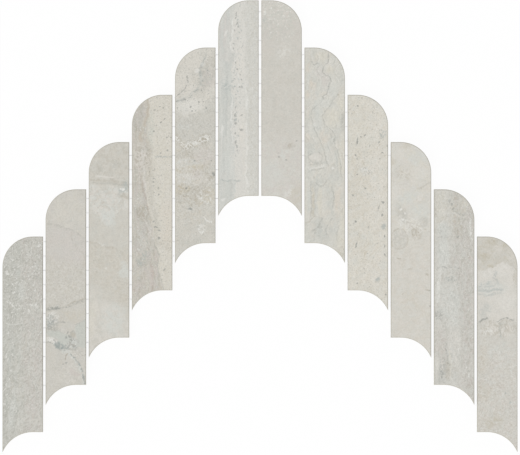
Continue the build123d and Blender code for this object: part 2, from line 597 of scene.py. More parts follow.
ink(face, ASH, 0.40, vein(face, "across", [(0, 24.5), (14.5, 28.7), (30, 36.5)], 1.3), broken)
ink(face, UMBER, 0.22, vein(face, "down", [(19, 33), (22, 42), (28, 48), (26, 60)], 1.2), broken)
ink(face, SAND, 0.40, lower, cloud(face, 7.0, 0.6, 0.2, seed=2))
crystals(face, 0.20, 2.6, lower, above_vein, dark=UMBER)
ink(face, CREAM, 0.55, cloud(face, 1.3, 0.25, 0.06, seed=4), blot(face, 20.0, 70.5, 10.0, 8.0))

# %% Left strip 5: the slate vein
ink(face, BUFF, 0.30, blot(face, 19.0, 92.5, 18.0, 9.0), cloud(face, 3.0, 0.65, 0.12, seed=13))
ink(face, ASH, 0.60, vein(face, "across", main_vein, 2.0), cloud(face, 1.4, 0.5, 0.08, seed=17))
ink(face, PIT, 0.55, vein(face, "across", main_vein, 0.8), cloud(face, 1.6, 0.42, 0.10, seed=23))
ink(face, PIT, 0.50, squiggles(face, 2.0, 0.7, seed=18), vein(face, "across", [(0, 87.4), (9, 87)], 2.4))
ink(face, UMBER, 0.50, vein(face, "across", [(17, 84.4), (22, 81.8), (30, 79.4)], 0.9), broken)

# %% Left strip 5: the slab and the lump of slate
slab_left = side(face, "right", [(22.4, 95), (22.2, 104), (23.2, 110), (23.8, 118)], 0.5, mark=True)
slab_top = side(face, "below", [(20, 100), (25, 97.6), (30, 95)], 0.6, mark=True)
slab_foot = side(face, "above", [(20, 113.4), (26, 115), (30, 115.6)], 0.7, mark=True)
ink(face, SEA_GREY, 0.90, slab_left, slab_top, slab_foot)
ink(face, FLINT, 0.45, vein(face, "across", [(22, 99), (25, 97.8), (30, 95.2)], 0.8), broken)
ink(face, SLATE, 0.50, blot(face, 3.0, 96.5, 7.0, 9.0, soft=0.3, mark=True),
    cloud(face, 2.4, 0.65, 0.10, seed=24))
ink(face, CHALK, 0.80, squiggles(face, 3.0, 0.7, seed=7), blot(face, 5.2, 94.5, 8.0, 9.0, mark=True))
ink(face, PIT, 0.45, squiggles(face, 3.0, 0.7, seed=19), blot(face, 4.5, 98.5, 9.0, 10.0, mark=True))
ink(face, PIT, 0.50, vein(face, "across", [(7.9, 98.8), (11, 97.2), (15.2, 97.8)], 0.9), broken)
ink(face, FLINT, 0.60, squiggles(face, 2.2, 0.8, seed=15), blot(face, 4.0, 103.4, 12.0, 5.0, mark=True))
ink(face, SEA_GREY, 0.90, blot(face, 6.5, 106.2, 12.0, 5.5, 14.0, soft=0.3, mark=True))
ink(face, SEA_GREY, 0.95, blot(face, 13.4, 110.0, 9.5, 8.5, 20.0, soft=0.25, mark=True))
ink(face, PIT, 0.60,
    specks(face, (16.4, 104.6, 1.6, 2.6, 20), (15.2, 108.2, 1.2, 1.6), (17.6, 107.6, 1.2, 2.4, -30)))
ink(face, ASH, 0.70, blot(face, 20.0, 105.8, 4.0, 5.4, soft=0.3, mark=True))
ink(face, BUFF, 0.40, blot(face, 20.4, 106.4, 3.0, 3.4, mark=True))
ink(face, CHALK, 0.90, specks(face, (3.6, 110.2, 5.6, 3.4, 20), (6.8, 112.4, 1.4, 3.4, 50)),
    cloud(face, 1.6, 0.8, 0.10, seed=25))
ink(face, PIT, 0.50, vein(face, "across", [(1, 112), (5, 112.8), (7.4, 114.4)], 0.6), broken)
ink(face, PIT, 0.55, vein(face, "down", [(6, 110.6), (7.6, 112.8)], 0.6, fade=1.0))
ink(face, DEEP_SLATE, 0.75, blot(face, 9.6, 114.2, 6.0, 5.0, 25.0, soft=0.35, mark=True),
    cloud(face, 2.0, 0.75, 0.1, seed=9))
ink(face, DEEP_SLATE, 0.60, blot(face, 14.0, 115.8, 8.0, 3.4, 5.0, soft=0.4, mark=True),
    cloud(face, 1.6, 0.6, 0.1, seed=26))
ink(face, FLINT, 0.80, squiggles(face, 2.2, 0.9, seed=10),
    blot(face, 20.0, 113.0, 8.5, 9.0, soft=0.3, mark=True))
ink(face, MIST, 0.75, squiggles(face, 2.4, 0.9, seed=16), blot(face, 20.0, 112.6, 8.5, 8.0, mark=True))
ink(face, PIT, 0.40, vein(face, "down", [(18.6, 108), (18.4, 111), (17.6, 114), (15.6, 116.5)], 0.8),
    broken)
ink(face, PIT, 0.45, vein(face, "across", [(9, 117), (13, 117.8), (18, 116.6), (21, 115)], 0.8), broken)
ink(face, MIST, 0.75, blot(face, 15.0, 118.8, 8.0, 3.2, 8.0, mark=True),
    cloud(face, 2.0, 0.7, 0.1, seed=20))

# %% Left strip 5: the foot
ink(face, UMBER, 0.70, vein(face, "down", [(15.6, 120.5), (14.1, 124)], 0.8, fade=1.0))
ink(face, MIST, 0.75, vein(face, "down", beside(foot_vein, -1.3), 1.5), broken)
ink(face, DEEP_SLATE, 0.70, vein(face, "down", foot_vein, 0.8), cloud(face, 1.8, 0.6, 0.12, seed=21))
ink(face, PIT, 0.50, vein(face, "down", [(27.6, 137), (28.6, 140), (29.6, 143)], 1.4, fade=1.0), broken)
ink(face, PIT, 0.60, specks(face, (15.3, 127.3, 1.5, 1.3), (13.2, 127.9, 1.0, 1.0)))
ink(face, CHALK, 0.55, cloud(face, 1.2, 0.25, 0.06, seed=11), blot(face, 24.0, 120.5, 12.0, 8.0))
ink(face, PIT, 0.40, cloud(face, 1.2, 0.16, 0.06, seed=22), blot(face, 24.0, 119.5, 13.0, 9.0))
ink(face, IVORY, 0.50, squiggles(face, 9.0, 1.2, 0.6, seed=12), blot(face, 17.0, 136.0, 22.0, 12.0))
ink(face, BLUSH, 0.45, blot(face, 22.0, 134.5, 8.0, 3.5))
finish_face(face, 0.13)

# %% [markdown]
# Soft clouds with hardly a line between them. A few sides part the pale zone from the brown ones, and
# clouds of several sizes fill them.

# %% Left strip 4: cloudy greige
face = start_face("tile_left_4", "#d0ccc2")
broken = cloud(face, 3.0, 0.65, 0.15, seed=1)
pale_top = side(face, "below", [(0, 32), (30, 33)], 1.5)
pale_foot = side(face, "above", [(0, 52), (7, 55), (14, 60), (20, 52), (30, 50)], 2.0)
brown_top = side(face, "below", [(0, 73), (10, 76), (20, 78), (30, 76)], 2.0)
brown_foot = side(face, "above", [(0, 100), (30, 122)], 6.0)
foot = side(face, "below", [(0, 108), (30, 128)], 5.0)
mottle(face, 0.11)
ink(face, UMBER, 0.24, side(face, "above", [(0, 28), (30, 31)], 2.0), cloud(face, 3.0, 0.36, 0.08, seed=2))
ink(face, ASH, 0.35, specks(face, (19.5, 16, 7, 5), (8.5, 19.5, 6, 5)), cloud(face, 2.0, 0.6, 0.1, seed=10))
ink(face, UMBER, 0.30, vein(face, "across", [(0, 27.3), (14.6, 28.4), (30, 30.6)], 1.3), broken)
ink(face, ASH, 0.50, vein(face, "across", [(0, 30), (14, 30.4), (30, 32)], 1.0), broken)
ink(face, IVORY, 0.70, vein(face, "across", [(7, 25), (12, 25.4), (18, 26.3)], 0.9))
ink(face, IVORY, 0.65, pale_top, pale_foot, cloud(face, 5.0, 0.5, 0.08, seed=3, swirl=0.6))
ink(face, MIST, 0.55, pale_top, pale_foot, cloud(face, 2.6, 0.45, 0.08, seed=4))
ink(face, CLAY, 0.40, pale_top, pale_foot, cloud(face, 2.2, 0.22, 0.08, seed=11))
ink(face, UMBER, 0.45, blot(face, 26.5, 41.0, 5.0, 5.0), cloud(face, 1.8, 0.6, 0.1, seed=12))
ink(face, SLATE, 0.65, blot(face, 26.5, 34.5, 9.0, 7.0), cloud(face, 2.4, 0.7, 0.12, seed=5))
ink(face, CHALK, 1.0, specks(face, (25.3, 34.5, 2.4, 2.4), (23.4, 34.0, 1.4, 1.2)))
ink(face, MIST, 0.70, blot(face, 14.5, 55.5, 9.0, 11.0, -20.0), cloud(face, 3.0, 0.75, 0.12, seed=13))

# %% Left strip 4: the lower half
ink(face, UMBER, 0.28, vein(face, "across", [(0, 73), (10, 76), (20, 78)], 1.4), broken)
ink(face, CHALK, 0.45, specks(face, (9.8, 75.6, 2.2, 1.8), (8, 74, 1.2, 1.2), (12.8, 92.7, 2.2, 2.2)))
ink(face, BUFF, 0.24, brown_top, brown_foot, cloud(face, 6.0, 0.5, 0.15, seed=6))
crystals(face, 0.16, 3.0, brown_top, brown_foot, pale=SHELL, dark=UMBER, turn=30.0)
ink(face, MIST, 0.75, blot(face, 26.0, 95.0, 9.0, 12.0, soft=0.3), cloud(face, 3.0, 0.8, 0.12, seed=7))
ink(face, IVORY, 0.50, foot, cloud(face, 5.0, 0.55, 0.12, seed=8, swirl=0.5))
ink(face, MIST, 0.65, blot(face, 19.0, 131.0, 17.0, 22.0), cloud(face, 3.5, 0.6, 0.1, seed=9))
ink(face, CREAM, 0.35, blot(face, 2.5, 130.0, 6.0, 26.0))
finish_face(face, 0.10)

# %% [markdown]
# Two beds of the stone meet along a ragged line. The dark bed is printed first, and the cream one is laid
# over it through a side of that line, so that both share one edge.

# %% Left strip 3: dark bedding beside a cream one
CREAM_BED = "#d8d3c6"
face = start_face("tile_left_3", "#d1cbbe")
bed = [
    (12.6, 0), (12.4, 15), (12.2, 25), (12.4, 40), (11, 55), (10.6, 66), (11, 73), (12.4, 83), (14, 89),
    (16, 101), (16.5, 108.5), (19.7, 118.6), (18.8, 125), (21, 132), (22.9, 138), (23.2, 143),
]
bed_shade = [(13.6, 38), (13.2, 55), (13, 66), (13.4, 73), (15, 83), (17, 90), (18.4, 101), (18.6, 110)]
top_streak = [(11.6, 4), (11.6, 14), (9.8, 20.5), (7.3, 26), (6.9, 34)]
streaks = (
    [(5.3, 54), (7.3, 63.5), (8.5, 71.5), (11, 80), (12.5, 87)],
    [(11.4, 62), (12, 70), (12.8, 79), (14.4, 88)],
    [(14, 122), (15, 130), (14.5, 137), (17, 146)],
)
pale_streaks = (
    [(8, 55), (9.6, 66), (11.2, 76), (13.6, 86)],
    [(6.9, 90.5), (9.5, 92.5), (11.5, 96), (14.2, 102.5)],
)
broken = cloud(face, 3.0, 0.65, 0.10, 3.0, -9.0, seed=11)
cream_bed = side(face, "right", bed, 0.9, mark=True)
dark_bed = side(face, "left", bed, 0.9, mark=True)
mottle(face, 0.16, 2.0, -8.0)
ink(face, ASH, 0.42, dark_bed, cloud(face, 3.0, 0.45, 0.10, 2.5, -8.0, seed=1))
ink(face, ASH, 0.45, blot(face, 5.0, 16.0, 9.0, 26.0), cloud(face, 3.0, 0.6, 0.12, 2.0, seed=2))
ink(face, BLUSH, 0.50, dark_bed, cloud(face, 2.4, 0.45, 0.10, 4.0, -9.0, seed=3))
ink(face, UMBER, 0.40, dark_bed, cloud(face, 1.8, 0.3, 0.08, 4.0, -9.0, seed=4))
ink(face, MIST, 0.55, specks(face, (7, 105, 6, 16)), cloud(face, 1.6, 0.5, 0.08, seed=16))

# %% Left strip 3: the streaks and flecks of the dark bed
ink(face, BUFF, 0.80, vein(face, "down", top_streak, 2.0), cloud(face, 3.0, 0.8, 0.12, 3.0, seed=17))
ink(face, CLAY, 0.50, vein(face, "down", top_streak, 1.2), broken)
for line in streaks:
    ink(face, CLAY, 0.75, vein(face, "down", line, 1.1), broken)
for line in pale_streaks:
    ink(face, IVORY, 0.70, vein(face, "down", line, 1.0), cloud(face, 3.0, 0.75, 0.12, 3.0, seed=18))
ink(face, UMBER, 0.55, squiggles(face, 2.4, 0.8, 1.4, seed=19), blot(face, 8.0, 86.5, 9.0, 11.0, mark=True))
flecks(face, 0.60, 1.5, 0.16, 20.0, 6, dark_bed, cloud(face, 7.0, 0.6, 0.12, seed=13), stretch=1.4)
flecks(face, 0.55, 1.3, 0.14, -20.0, 14, blot(face, 6.0, 100.0, 15.0, 70.0), stretch=1.4)
ink(face, SLATE, 0.65, specks(face, (9.5, 118.5, 5, 8), (6, 123, 6, 4)),
    cloud(face, 2.0, 0.5, 0.1, seed=15))
ink(face, BLUSH, 0.50, specks(face, (14.5, 133, 8, 14)), cloud(face, 2.5, 0.55, 0.12, 2.0, seed=7))

# %% Left strip 3: the cream bed
ink(face, CREAM_BED, 0.95, cream_bed)
ink(face, IVORY, 0.45, cream_bed, cloud(face, 6.0, 0.5, 0.15, 2.0, seed=8))
ink(face, SAND, 0.50, cream_bed, cloud(face, 3.5, 0.4, 0.12, 2.0, seed=9))
ink(face, LICHEN, 0.55, specks(face, (14, 26, 4, 26)), cloud(face, 2.4, 0.6, 0.1, 2.0, seed=21))
ink(face, SAND, 0.70, specks(face, (15.5, 66, 5, 24), (18, 94, 5, 24)),
    cloud(face, 2.2, 0.65, 0.1, 2.0, seed=22))
ink(face, TAUPE, 0.50, vein(face, "down", bed_shade, 3.0), cloud(face, 2.2, 0.75, 0.12, 2.5, seed=25))
ink(face, UMBER, 0.75, blot(face, 12.0, 48.5, 4.4, 24.0, mark=True),
    cloud(face, 2.0, 0.6, 0.08, 2.0, seed=20))
ink(face, UMBER, 0.40, squiggles(face, 3.0, 0.9, 1.4, seed=12), blot(face, 8.0, 48.0, 12.0, 26.0))
ink(face, IVORY, 0.60, squiggles(face, 3.0, 1.0, 1.4, seed=5), blot(face, 8.0, 48.0, 12.0, 25.0))
ink(face, PEACH, 0.55, blot(face, 26.0, 94.0, 10.0, 30.0), cream_bed)
ink(face, UMBER, 0.35, blot(face, 25.0, 110.0, 13.0, 8.0), cream_bed, cloud(face, 2.5, 0.5, 0.1, seed=23))
ink(face, ASH, 0.75, vein(face, "down", bed[9:], 0.8), broken)
ink(face, SLATE, 0.55, vein(face, "across", [(18, 45.4), (22, 45.2), (29, 45)], 1.1),
    cloud(face, 2.5, 0.7, 0.12, seed=24))
crystals(face, 0.18, 2.0, cream_bed, dark=BUFF)
ink(face, PIT, 0.45, cream_bed, cloud(face, 1.1, 0.12, 0.05, seed=10))
ink(face, PIT, 0.65, specks(
    face, (19.9, 8.9, 1.2, 1.0), (22.8, 9.7, 1.0, 1.4), (16.7, 10.9, 1.2, 1.0),
    (23.4, 17.3, 1.6, 0.9, -40), (21.4, 19.6, 1.5, 1.2, -30), (17.9, 22.3, 0.9, 1.2),
    (15.9, 27.2, 1.4, 0.9), (25.6, 31.3, 1.0, 1.3), (28.5, 31.3, 1.2, 1.0), (21.2, 42.3, 1.5, 1.0, -30),
    (26, 40.2, 1.2, 1.2), (16.7, 54.5, 1.0, 0.9), (22, 59.3, 1.2, 0.9), (16.3, 61, 1.3, 0.9),
    (15.5, 63.4, 1.0, 1.4), (19.9, 67.9, 1.3, 1.3), (19.5, 73.2, 0.9, 1.6), (15.6, 92.5, 1.1, 2.2),
    (19.5, 99, 1.6, 1.2), (20.3, 104.5, 1.8, 1.4), (17, 97.2, 1.8, 0.9), (24.5, 128, 1.2, 2.4, 40),
))
finish_face(face, 0.15)

# %% [markdown]
# Cream with pits above, and a jumble of cream, tan and grey below, with pale crystal lines between them.
# Each zone gets a mask of its own, and the crystal lines are squiggles that are kept to a line or a ring.

# %% Left strip 2: cream with pits above, greige with pale squiggles below
TAN = "#c8bda3"
face = start_face("tile_left_2", "#d2cec4")
broken = cloud(face, 2.5, 0.6, 0.10, seed=1)
cream_top = side(face, "above", [(0, 46), (8, 50), (18, 48), (24, 40), (30, 34)], 1.5)
mixed = specks(face, (14, 98, 40, 56))
squiggle_line = [(0, 65.5), (4, 69), (7, 73), (10, 71.5), (13, 71), (17, 68.5), (25, 66.5)]
right_vein = [(22.6, 5), (18.5, 18), (19, 23), (16, 31.5)]
left_vein = [(1, 39.9), (8.5, 37.2), (13.4, 33.6), (17, 31)]
mottle(face, 0.14)
ink(face, SHELL, 0.55, cream_top, cloud(face, 8.0, 0.75, 0.2, seed=2))
ink(face, CHALK, 0.38, blot(face, 11.0, 43.0, 20.0, 10.0), blot(face, 11.0, 43.0, 26.0, 16.0))
ink(face, TAUPE, 0.60, blot(face, 25.0, 18.0, 16.0, 26.0, 20.0), cloud(face, 4.0, 0.65, 0.12, seed=3))
ink(face, SLATE, 0.30, blot(face, 22.0, 22.0, 11.0, 15.0, 10.0), cloud(face, 2.5, 0.5, 0.1, seed=16))
ink(face, ROSE, 0.55, blot(face, 26.0, 24.0, 10.0, 14.0), cloud(face, 3.0, 0.5, 0.12, seed=4))
ink(face, CHALK, 0.60, specks(face, (16.5, 17, 4, 4), (20.5, 12, 3, 3)))
ink(face, TAUPE, 0.45, blot(face, 15.0, 58.0, 44.0, 17.0), cloud(face, 6.0, 0.6, 0.2, seed=5))
ink(face, MIST, 0.50, blot(face, 6.0, 58.0, 9.0, 6.0), cloud(face, 2.0, 0.6, 0.1, seed=20))
crystals(face, 0.25, 2.0, blot(face, 15.0, 58.0, 44.0, 18.0))

# %% Left strip 2: the veins and pits of the crown
ink(face, SLATE, 0.32, vein(face, "down", right_vein, 1.6), broken)
ink(face, PIT, 0.35, vein(face, "down", right_vein, 0.7), cloud(face, 2.0, 0.4, 0.08, seed=21))
ink(face, SLATE, 0.30, vein(face, "across", left_vein, 3.0), broken)
ink(face, PIT, 0.60, vein(face, "across", left_vein, 0.8), broken)
ink(face, PIT, 0.65, vein(face, "down", [(8.5, 21), (8.5, 26.8), (6, 31.7), (0.5, 36.5)], 0.9), broken)
ink(face, PIT, 0.60, cream_top, cloud(face, 1.2, 0.11, 0.05, seed=6))
ink(face, PIT, 0.75, specks(
    face, (17.7, 39.7, 1.2, 1.0), (11, 43.3, 1.4, 1.2), (12.2, 46.4, 1.2, 1.0), (23.2, 44, 1.4, 1.2),
    (21, 39.5, 1.0, 1.0),
))

# %% Left strip 2: the jumble below
ink(face, UMBER, 0.75, squiggles(face, 2.6, 1.2, seed=9), vein(face, "across", squiggle_line, 5.0))
ink(face, CHALK, 0.95, squiggles(face, 2.6, 0.8, seed=7), vein(face, "across", squiggle_line, 4.0))
ink(face, TAN, 0.50, mixed, cloud(face, 5.0, 0.3, 0.06, seed=17, swirl=0.6),
    cloud(face, 1.6, 0.6, 0.1, seed=11))
ink(face, UMBER, 0.45, specks(face, (9, 78.5, 16, 6), (5, 102, 9, 6), (20, 104, 10, 8), (25, 94, 8, 10)),
    cloud(face, 2.4, 0.55, 0.1, seed=22))
ink(face, MIST, 0.65, specks(face, (6, 84, 11, 7), (7, 95, 13, 7), (14, 84, 8, 5)),
    cloud(face, 2.6, 0.65, 0.1, seed=10))
ink(face, ROSE, 0.70, specks(face, (21, 80, 14, 12), (16, 92, 8, 8)), cloud(face, 3.0, 0.7, 0.12, seed=18))
ink(face, IVORY, 0.60, specks(face, (6, 85, 12, 8), (7, 95, 15, 8), (17, 98, 9, 7)),
    cloud(face, 3.4, 0.65, 0.1, seed=24))
ink(face, TAN, 0.50, specks(face, (5, 90, 8, 4), (15, 88, 14, 4), (5, 104, 11, 8), (25, 108, 9, 8)),
    cloud(face, 2.6, 0.6, 0.1, seed=25))
ink(face, UMBER, 0.55, cloud(face, 1.8, 0.16, 0.05, seed=23), mixed)
ink(face, IVORY, 0.75, cloud(face, 2.0, 0.20, 0.06, seed=12), mixed)
crystals(face, 0.22, 2.4, mixed, dark=UMBER)
ink(face, UMBER, 0.50, blot(face, 12.0, 108.0, 24.0, 14.0), cloud(face, 2.0, 0.42, 0.08, seed=19))
ink(face, CHALK, 0.85, squiggles(face, 3.4, 0.8, seed=13), cloud(face, 3.0, 0.45, 0.1, seed=14),
    blot(face, 22.5, 109.0, 10.0, 12.0))
ink(face, CHALK, 0.85, vein(face, "across", [(20.5, 124.4), (23, 126.4), (27, 127)], 0.8, fade=0.8))
ink(face, CHALK, 0.80, squiggles(face, 2.6, 0.7, seed=15), ring(face, 20.0, 133.0, 4.0, 5.0, 1.6))
ink(face, PIT, 0.75, specks(
    face, (11, 118.3, 2.6, 1.8, 20), (28.2, 92.7, 2.0, 3.6), (14.6, 83, 1.4, 1.4), (8.5, 102.5, 1.4, 1.2),
    (25.6, 83, 1.2, 1.0),
))
finish_face(face, 0.18)

# %% [markdown]
# Cool grey bands run down the face on both sides of a pale one with a chain of pits. The bands are clouds
# drawn out far down the strip, and the larger pits are placed one by one.

# %% Left strip 1: cool grey bands with a chain of pits
face = start_face("tile_left_1", "#dbdad4")
band_left = [(10.5, 0), (10, 30), (11, 60), (10.5, 100), (12, 143)]
band_right = [(21, 0), (20.5, 60), (20, 100), (21.5, 143)]
left_bed = side(face, "left", band_left, 1.2)
right_bed = side(face, "right", band_right, 1.2)
mottle(face, 0.11, 3.0)
ink(face, PEWTER, 0.38, left_bed, cloud(face, 1.6, 0.5, 0.12, 20.0, seed=1))
ink(face, MIST, 0.45, left_bed, cloud(face, 2.0, 0.45, 0.10, 12.0, seed=10))
broken = cloud(face, 3.0, 0.55, 0.12, 3.0, seed=9)
ink(face, SLATE, 0.18, left_bed, cloud(face, 2.4, 0.4, 0.12, 9.0, seed=2))
ink(face, ROSE, 0.50, left_bed, blot(face, 5.0, 26.0, 9.0, 36.0), cloud(face, 2.0, 0.5, 0.12, 6.0, seed=6))
ink(face, IVORY, 0.45, side(face, "right", band_left, 1.0), side(face, "left", band_right, 1.5))
ink(face, SHELL, 0.50, specks(face, (16.5, 45, 6, 24), (17, 92, 6, 30), (19.5, 118, 4, 24)),
    cloud(face, 2.6, 0.6, 0.12, seed=11))
ink(face, SAND, 0.50, right_bed, cloud(face, 1.6, 0.5, 0.12, 2.0, seed=3))
crystals(face, 0.22, 1.8, right_bed, stretch=1.4)
ink(face, CHALK, 0.85, vein(face, "down", [(10.3, 4), (10.3, 20), (9.8, 30), (9, 38)], 1.0), broken)
ink(face, CHALK, 0.70, vein(face, "down", [(10.4, 68), (9.8, 80), (10, 96), (10.6, 106)], 1.0), broken)
ink(face, CHALK, 0.75,
    vein(face, "down", [(20, 58), (20.6, 75), (20.4, 95), (20.8, 112), (20.2, 124), (22, 140)], 1.1),
    broken)
ink(face, SLATE, 0.60, cloud(face, 4.0, 0.4, 0.1, 0.2, seed=4), blot(face, 6.0, 63.0, 8.0, 11.0))
ink(face, SLATE, 0.50, vein(face, "across", [(2.5, 131.2), (10, 132), (15.5, 131.4)], 1.0),
    cloud(face, 3.0, 0.7, 0.12, seed=7))
ink(face, SLATE, 0.25, vein(face, "down", [(6, 46), (6.4, 70), (5.6, 98)], 1.4))
ink(face, MIST, 0.60, blot(face, 6.0, 118.0, 9.0, 14.0), cloud(face, 3.0, 0.6, 0.12, 2.0, seed=8))
ink(face, CHALK, 0.65, specks(face, (2.4, 95, 1.8, 8), (3.6, 146, 3.4, 1.6), (6, 24, 1.0, 5, 30)))

# %% Left strip 1: the chain of pits
ink(face, PIT, 0.60, specks(
    face, (13.2, 10, 1.4, 3.0, 10), (12.6, 13, 1.0, 1.8), (14, 16.5, 1.0, 2.2, 20), (14.5, 19, 1.0, 1.4),
    (12.2, 22, 1.0, 1.6), (11.6, 32, 1.0, 1.6), (11.6, 36, 1.0, 2.0), (13.2, 45, 1.0, 2.0, -20),
    (14.2, 50, 1.0, 2.2, -20), (16, 54, 1.0, 1.4), (16.6, 57.5, 1.0, 1.8, -20), (12.4, 58, 1.2, 1.0),
    (17, 63.5, 1.2, 2.2, -30), (15.4, 64, 1.0, 1.2), (11, 64.5, 1.0, 1.0), (12.8, 78, 1.0, 1.4),
    (12.8, 84, 1.6, 2.4, 10), (12.2, 88, 1.2, 2.0), (17, 84.5, 1.6, 1.4), (13, 90.5, 2.0, 1.4, 10),
    (17, 95, 1.4, 2.0, -30), (13, 97.5, 1.0, 1.8), (12.8, 104, 1.6, 2.0), (13.6, 106.5, 1.4, 2.4, -20),
    (14, 110, 1.0, 1.4),
))
ink(face, SLATE, 0.75, cloud(face, 1.4, 0.2, 0.06, 1.6, seed=5), blot(face, 14.0, 60.0, 8.0, 120.0))
ink(face, CHALK, 0.55, cloud(face, 1.4, 0.2, 0.06, 1.6, seed=12), blot(face, 13.0, 60.0, 8.0, 120.0))
finish_face(face, 0.13)

# %% [markdown]
# The plainest face: warm grey, with a dusting of white near the crown and a few small marks lower down.
# One flat shade would look lifeless, so faint clouds lie under all of it.

# %% Right strip 1: plain warm greige
face = start_face("tile_right_1", "#d1cdc4")
lower = side(face, "below", [(0, 100), (30, 104)], 10.0)
mottle(face, 0.09)
ink(face, ROSE, 0.35, side(face, "above", [(0, 34), (30, 28)], 10.0), cloud(face, 5.0, 0.6, 0.15, seed=1))
ink(face, IVORY, 0.40, blot(face, 10.0, 8.0, 34.0, 20.0), cloud(face, 2.2, 0.55, 0.10, seed=15))
ink(face, LICHEN, 0.40, blot(face, 10.0, 12.0, 34.0, 30.0), cloud(face, 2.0, 0.45, 0.08, seed=9))
ink(face, CHALK, 0.75, cloud(face, 1.6, 0.20, 0.05, 1.2, 20.0, seed=2), blot(face, 10.0, 7.0, 34.0, 22.0))
ink(face, CHALK, 0.75, cloud(face, 1.6, 0.16, 0.05, 1.2, 20.0, seed=3), blot(face, 14.0, 25.0, 22.0, 14.0))
ink(face, CHALK, 0.80, specks(face, (2.4, 8.5, 2.0, 1.4)))
ink(face, CHALK, 0.50, cloud(face, 2.0, 0.5, 0.1, seed=4), blot(face, 16.5, 37.5, 9.0, 9.0))
ink(face, SLATE, 0.45, blot(face, 2.5, 15.0, 5.0, 5.0), cloud(face, 2.0, 0.6, 0.1, seed=10))
crystals(face, 0.14, 3.0, side(face, "below", [(0, 40), (30, 36)], 6.0), pale=IVORY, dark=TAUPE,
    stretch=0.5)
ink(face, IVORY, 0.35, lower, cloud(face, 4.0, 0.5, 0.12, seed=11))
ink(face, MIST, 0.35, lower, cloud(face, 3.0, 0.45, 0.12, seed=5))
ink(face, ROSE, 0.50, lower, cloud(face, 3.5, 0.4, 0.1, seed=14))
ink(face, MIST, 0.40, blot(face, 8.0, 128.0, 18.0, 18.0), cloud(face, 4.0, 0.7, 0.15, seed=12))
ink(face, UMBER, 0.40, blot(face, 20.5, 106.5, 7.0, 4.5, -30.0), cloud(face, 2.2, 0.5, 0.1, seed=6))
ink(face, MIST, 0.70, blot(face, 16.0, 112.5, 6.0, 5.0), cloud(face, 2.5, 0.6, 0.12, seed=7))
ink(face, PIT, 0.50, specks(
    face, (26.2, 103, 1.2, 1.2), (12.2, 114.7, 1.4, 1.4), (18.9, 117.1, 1.4, 1.4), (12.2, 111, 1.0, 1.0),
))
ink(face, BUFF, 0.40, blot(face, 27.0, 143.0, 11.0, 17.0), cloud(face, 3.0, 0.7, 0.12, seed=13))
ink(face, CHALK, 0.50, squiggles(face, 2.4, 0.6, seed=8), blot(face, 20.0, 142.0, 8.0, 7.0))
finish_face(face, 0.10)

# %% [markdown]
# Lines like those of agate flow around cream islands. The main ones are veins along drawn lines, and
# bands repeat them more faintly on both sides.

# %% Right strip 2: agate lines around cream islands
face = start_face("tile_right_2", "#dad8cf")
broken = cloud(face, 3.5, 0.7, 0.12, seed=1)
thin = cloud(face, 5.0, 0.45, 0.10, 2.0, 15.0, seed=10)
main_line = [
    (17.1, 3), (17.7, 8.6), (17.1, 12), (14.1, 14.1), (13.4, 16.6), (14.9, 19.6), (18.5, 21.7),
    (19.3, 24), (18.2, 28.3), (16.3, 32.7), (13.8, 36),
]
second_line = [
    (10.8, 41), (7.9, 43), (5.4, 46), (4.8, 50.3), (5.7, 54.7), (6.8, 59), (9.4, 64.2), (11.2, 68),
    (14.5, 76), (17.3, 86),
]
island = [
    (24.4, 34.2), (21.8, 38), (18.5, 42.2), (15.6, 45.2), (14.1, 49.6), (14.1, 54.7), (16.3, 57.6),
    (19.6, 59.8), (21.6, 63), (22, 70), (24.6, 77), (26.4, 86), (26.8, 96),
]
mottle(face, 0.10, 1.5, 20.0)
ink(face, PEWTER, 0.32, cloud(face, 5.0, 0.42, 0.10, 2.0, 15.0, seed=3, swirl=0.6))
ink(face, PEACH, 0.32, cloud(face, 5.0, 0.38, 0.10, 2.0, 15.0, seed=2, swirl=0.6))
ink(face, MIST, 0.45, specks(face, (9, 52, 8, 22), (14, 40, 9, 8), (3.5, 21, 3, 7), (20, 31, 7, 10)))
ink(face, CREAM, 0.75,
    specks(face, (20.7, 51, 10, 13), (12, 6.5, 8, 7), (18.5, 16.5, 5, 5), (27, 42, 6, 18)))
ink(face, CREAM, 0.75, specks(face, (28, 128, 4, 26), (27, 144, 8, 16), (27.5, 80, 5, 30)))
ink(face, PEACH, 0.75, specks(
    face, (2.8, 14.4, 4, 6), (5.7, 28, 5, 7), (2.1, 34, 4, 6), (1.5, 47, 3, 7), (2, 66, 4, 6),
    (24, 112, 5, 20), (14, 66, 5, 9),
), cloud(face, 3.0, 0.75, 0.12, 2.0, seed=7))
ink(face, ROSE, 0.55, specks(face, (15.5, 24, 6, 10), (11, 18, 6, 8)), cloud(face, 2.4, 0.7, 0.12, seed=11))

# %% Right strip 2: the agate lines
ink(face, FLINT, 0.22, bands(face, "down", main_line + second_line, 4.2, 0.7), thin)
ink(face, CHALK, 0.35, bands(face, "down", beside(main_line + second_line, 1), 4.2, 0.8), thin)
ink(face, FLINT, 0.75, vein(face, "down", main_line, 0.7), broken)
ink(face, CHALK, 0.40, vein(face, "down", beside(main_line, 1), 0.8), thin)
ink(face, FLINT, 0.38, vein(face, "down", second_line, 0.7), broken)
ink(face, FLINT, 0.48, vein(face, "down", island, 0.7), broken)
ink(face, CHALK, 0.40, vein(face, "down", beside(island, 1), 0.8), thin)
ink(face, FLINT, 0.30, vein(face, "down", beside(island[7:], -2.4), 0.6), broken)
ink(face, FLINT, 0.55, vein(face, "across", [(5.4, 10), (7, 12.2), (9.4, 11.4)], 0.7))
ink(face, ASH, 0.60, blot(face, 28.2, 54.5, 3.8, 13.0, mark=True), cloud(face, 2.5, 0.75, 0.12, seed=4))
ink(face, UMBER, 0.60, specks(face, (25.1, 34.2, 1.6, 1.4)))

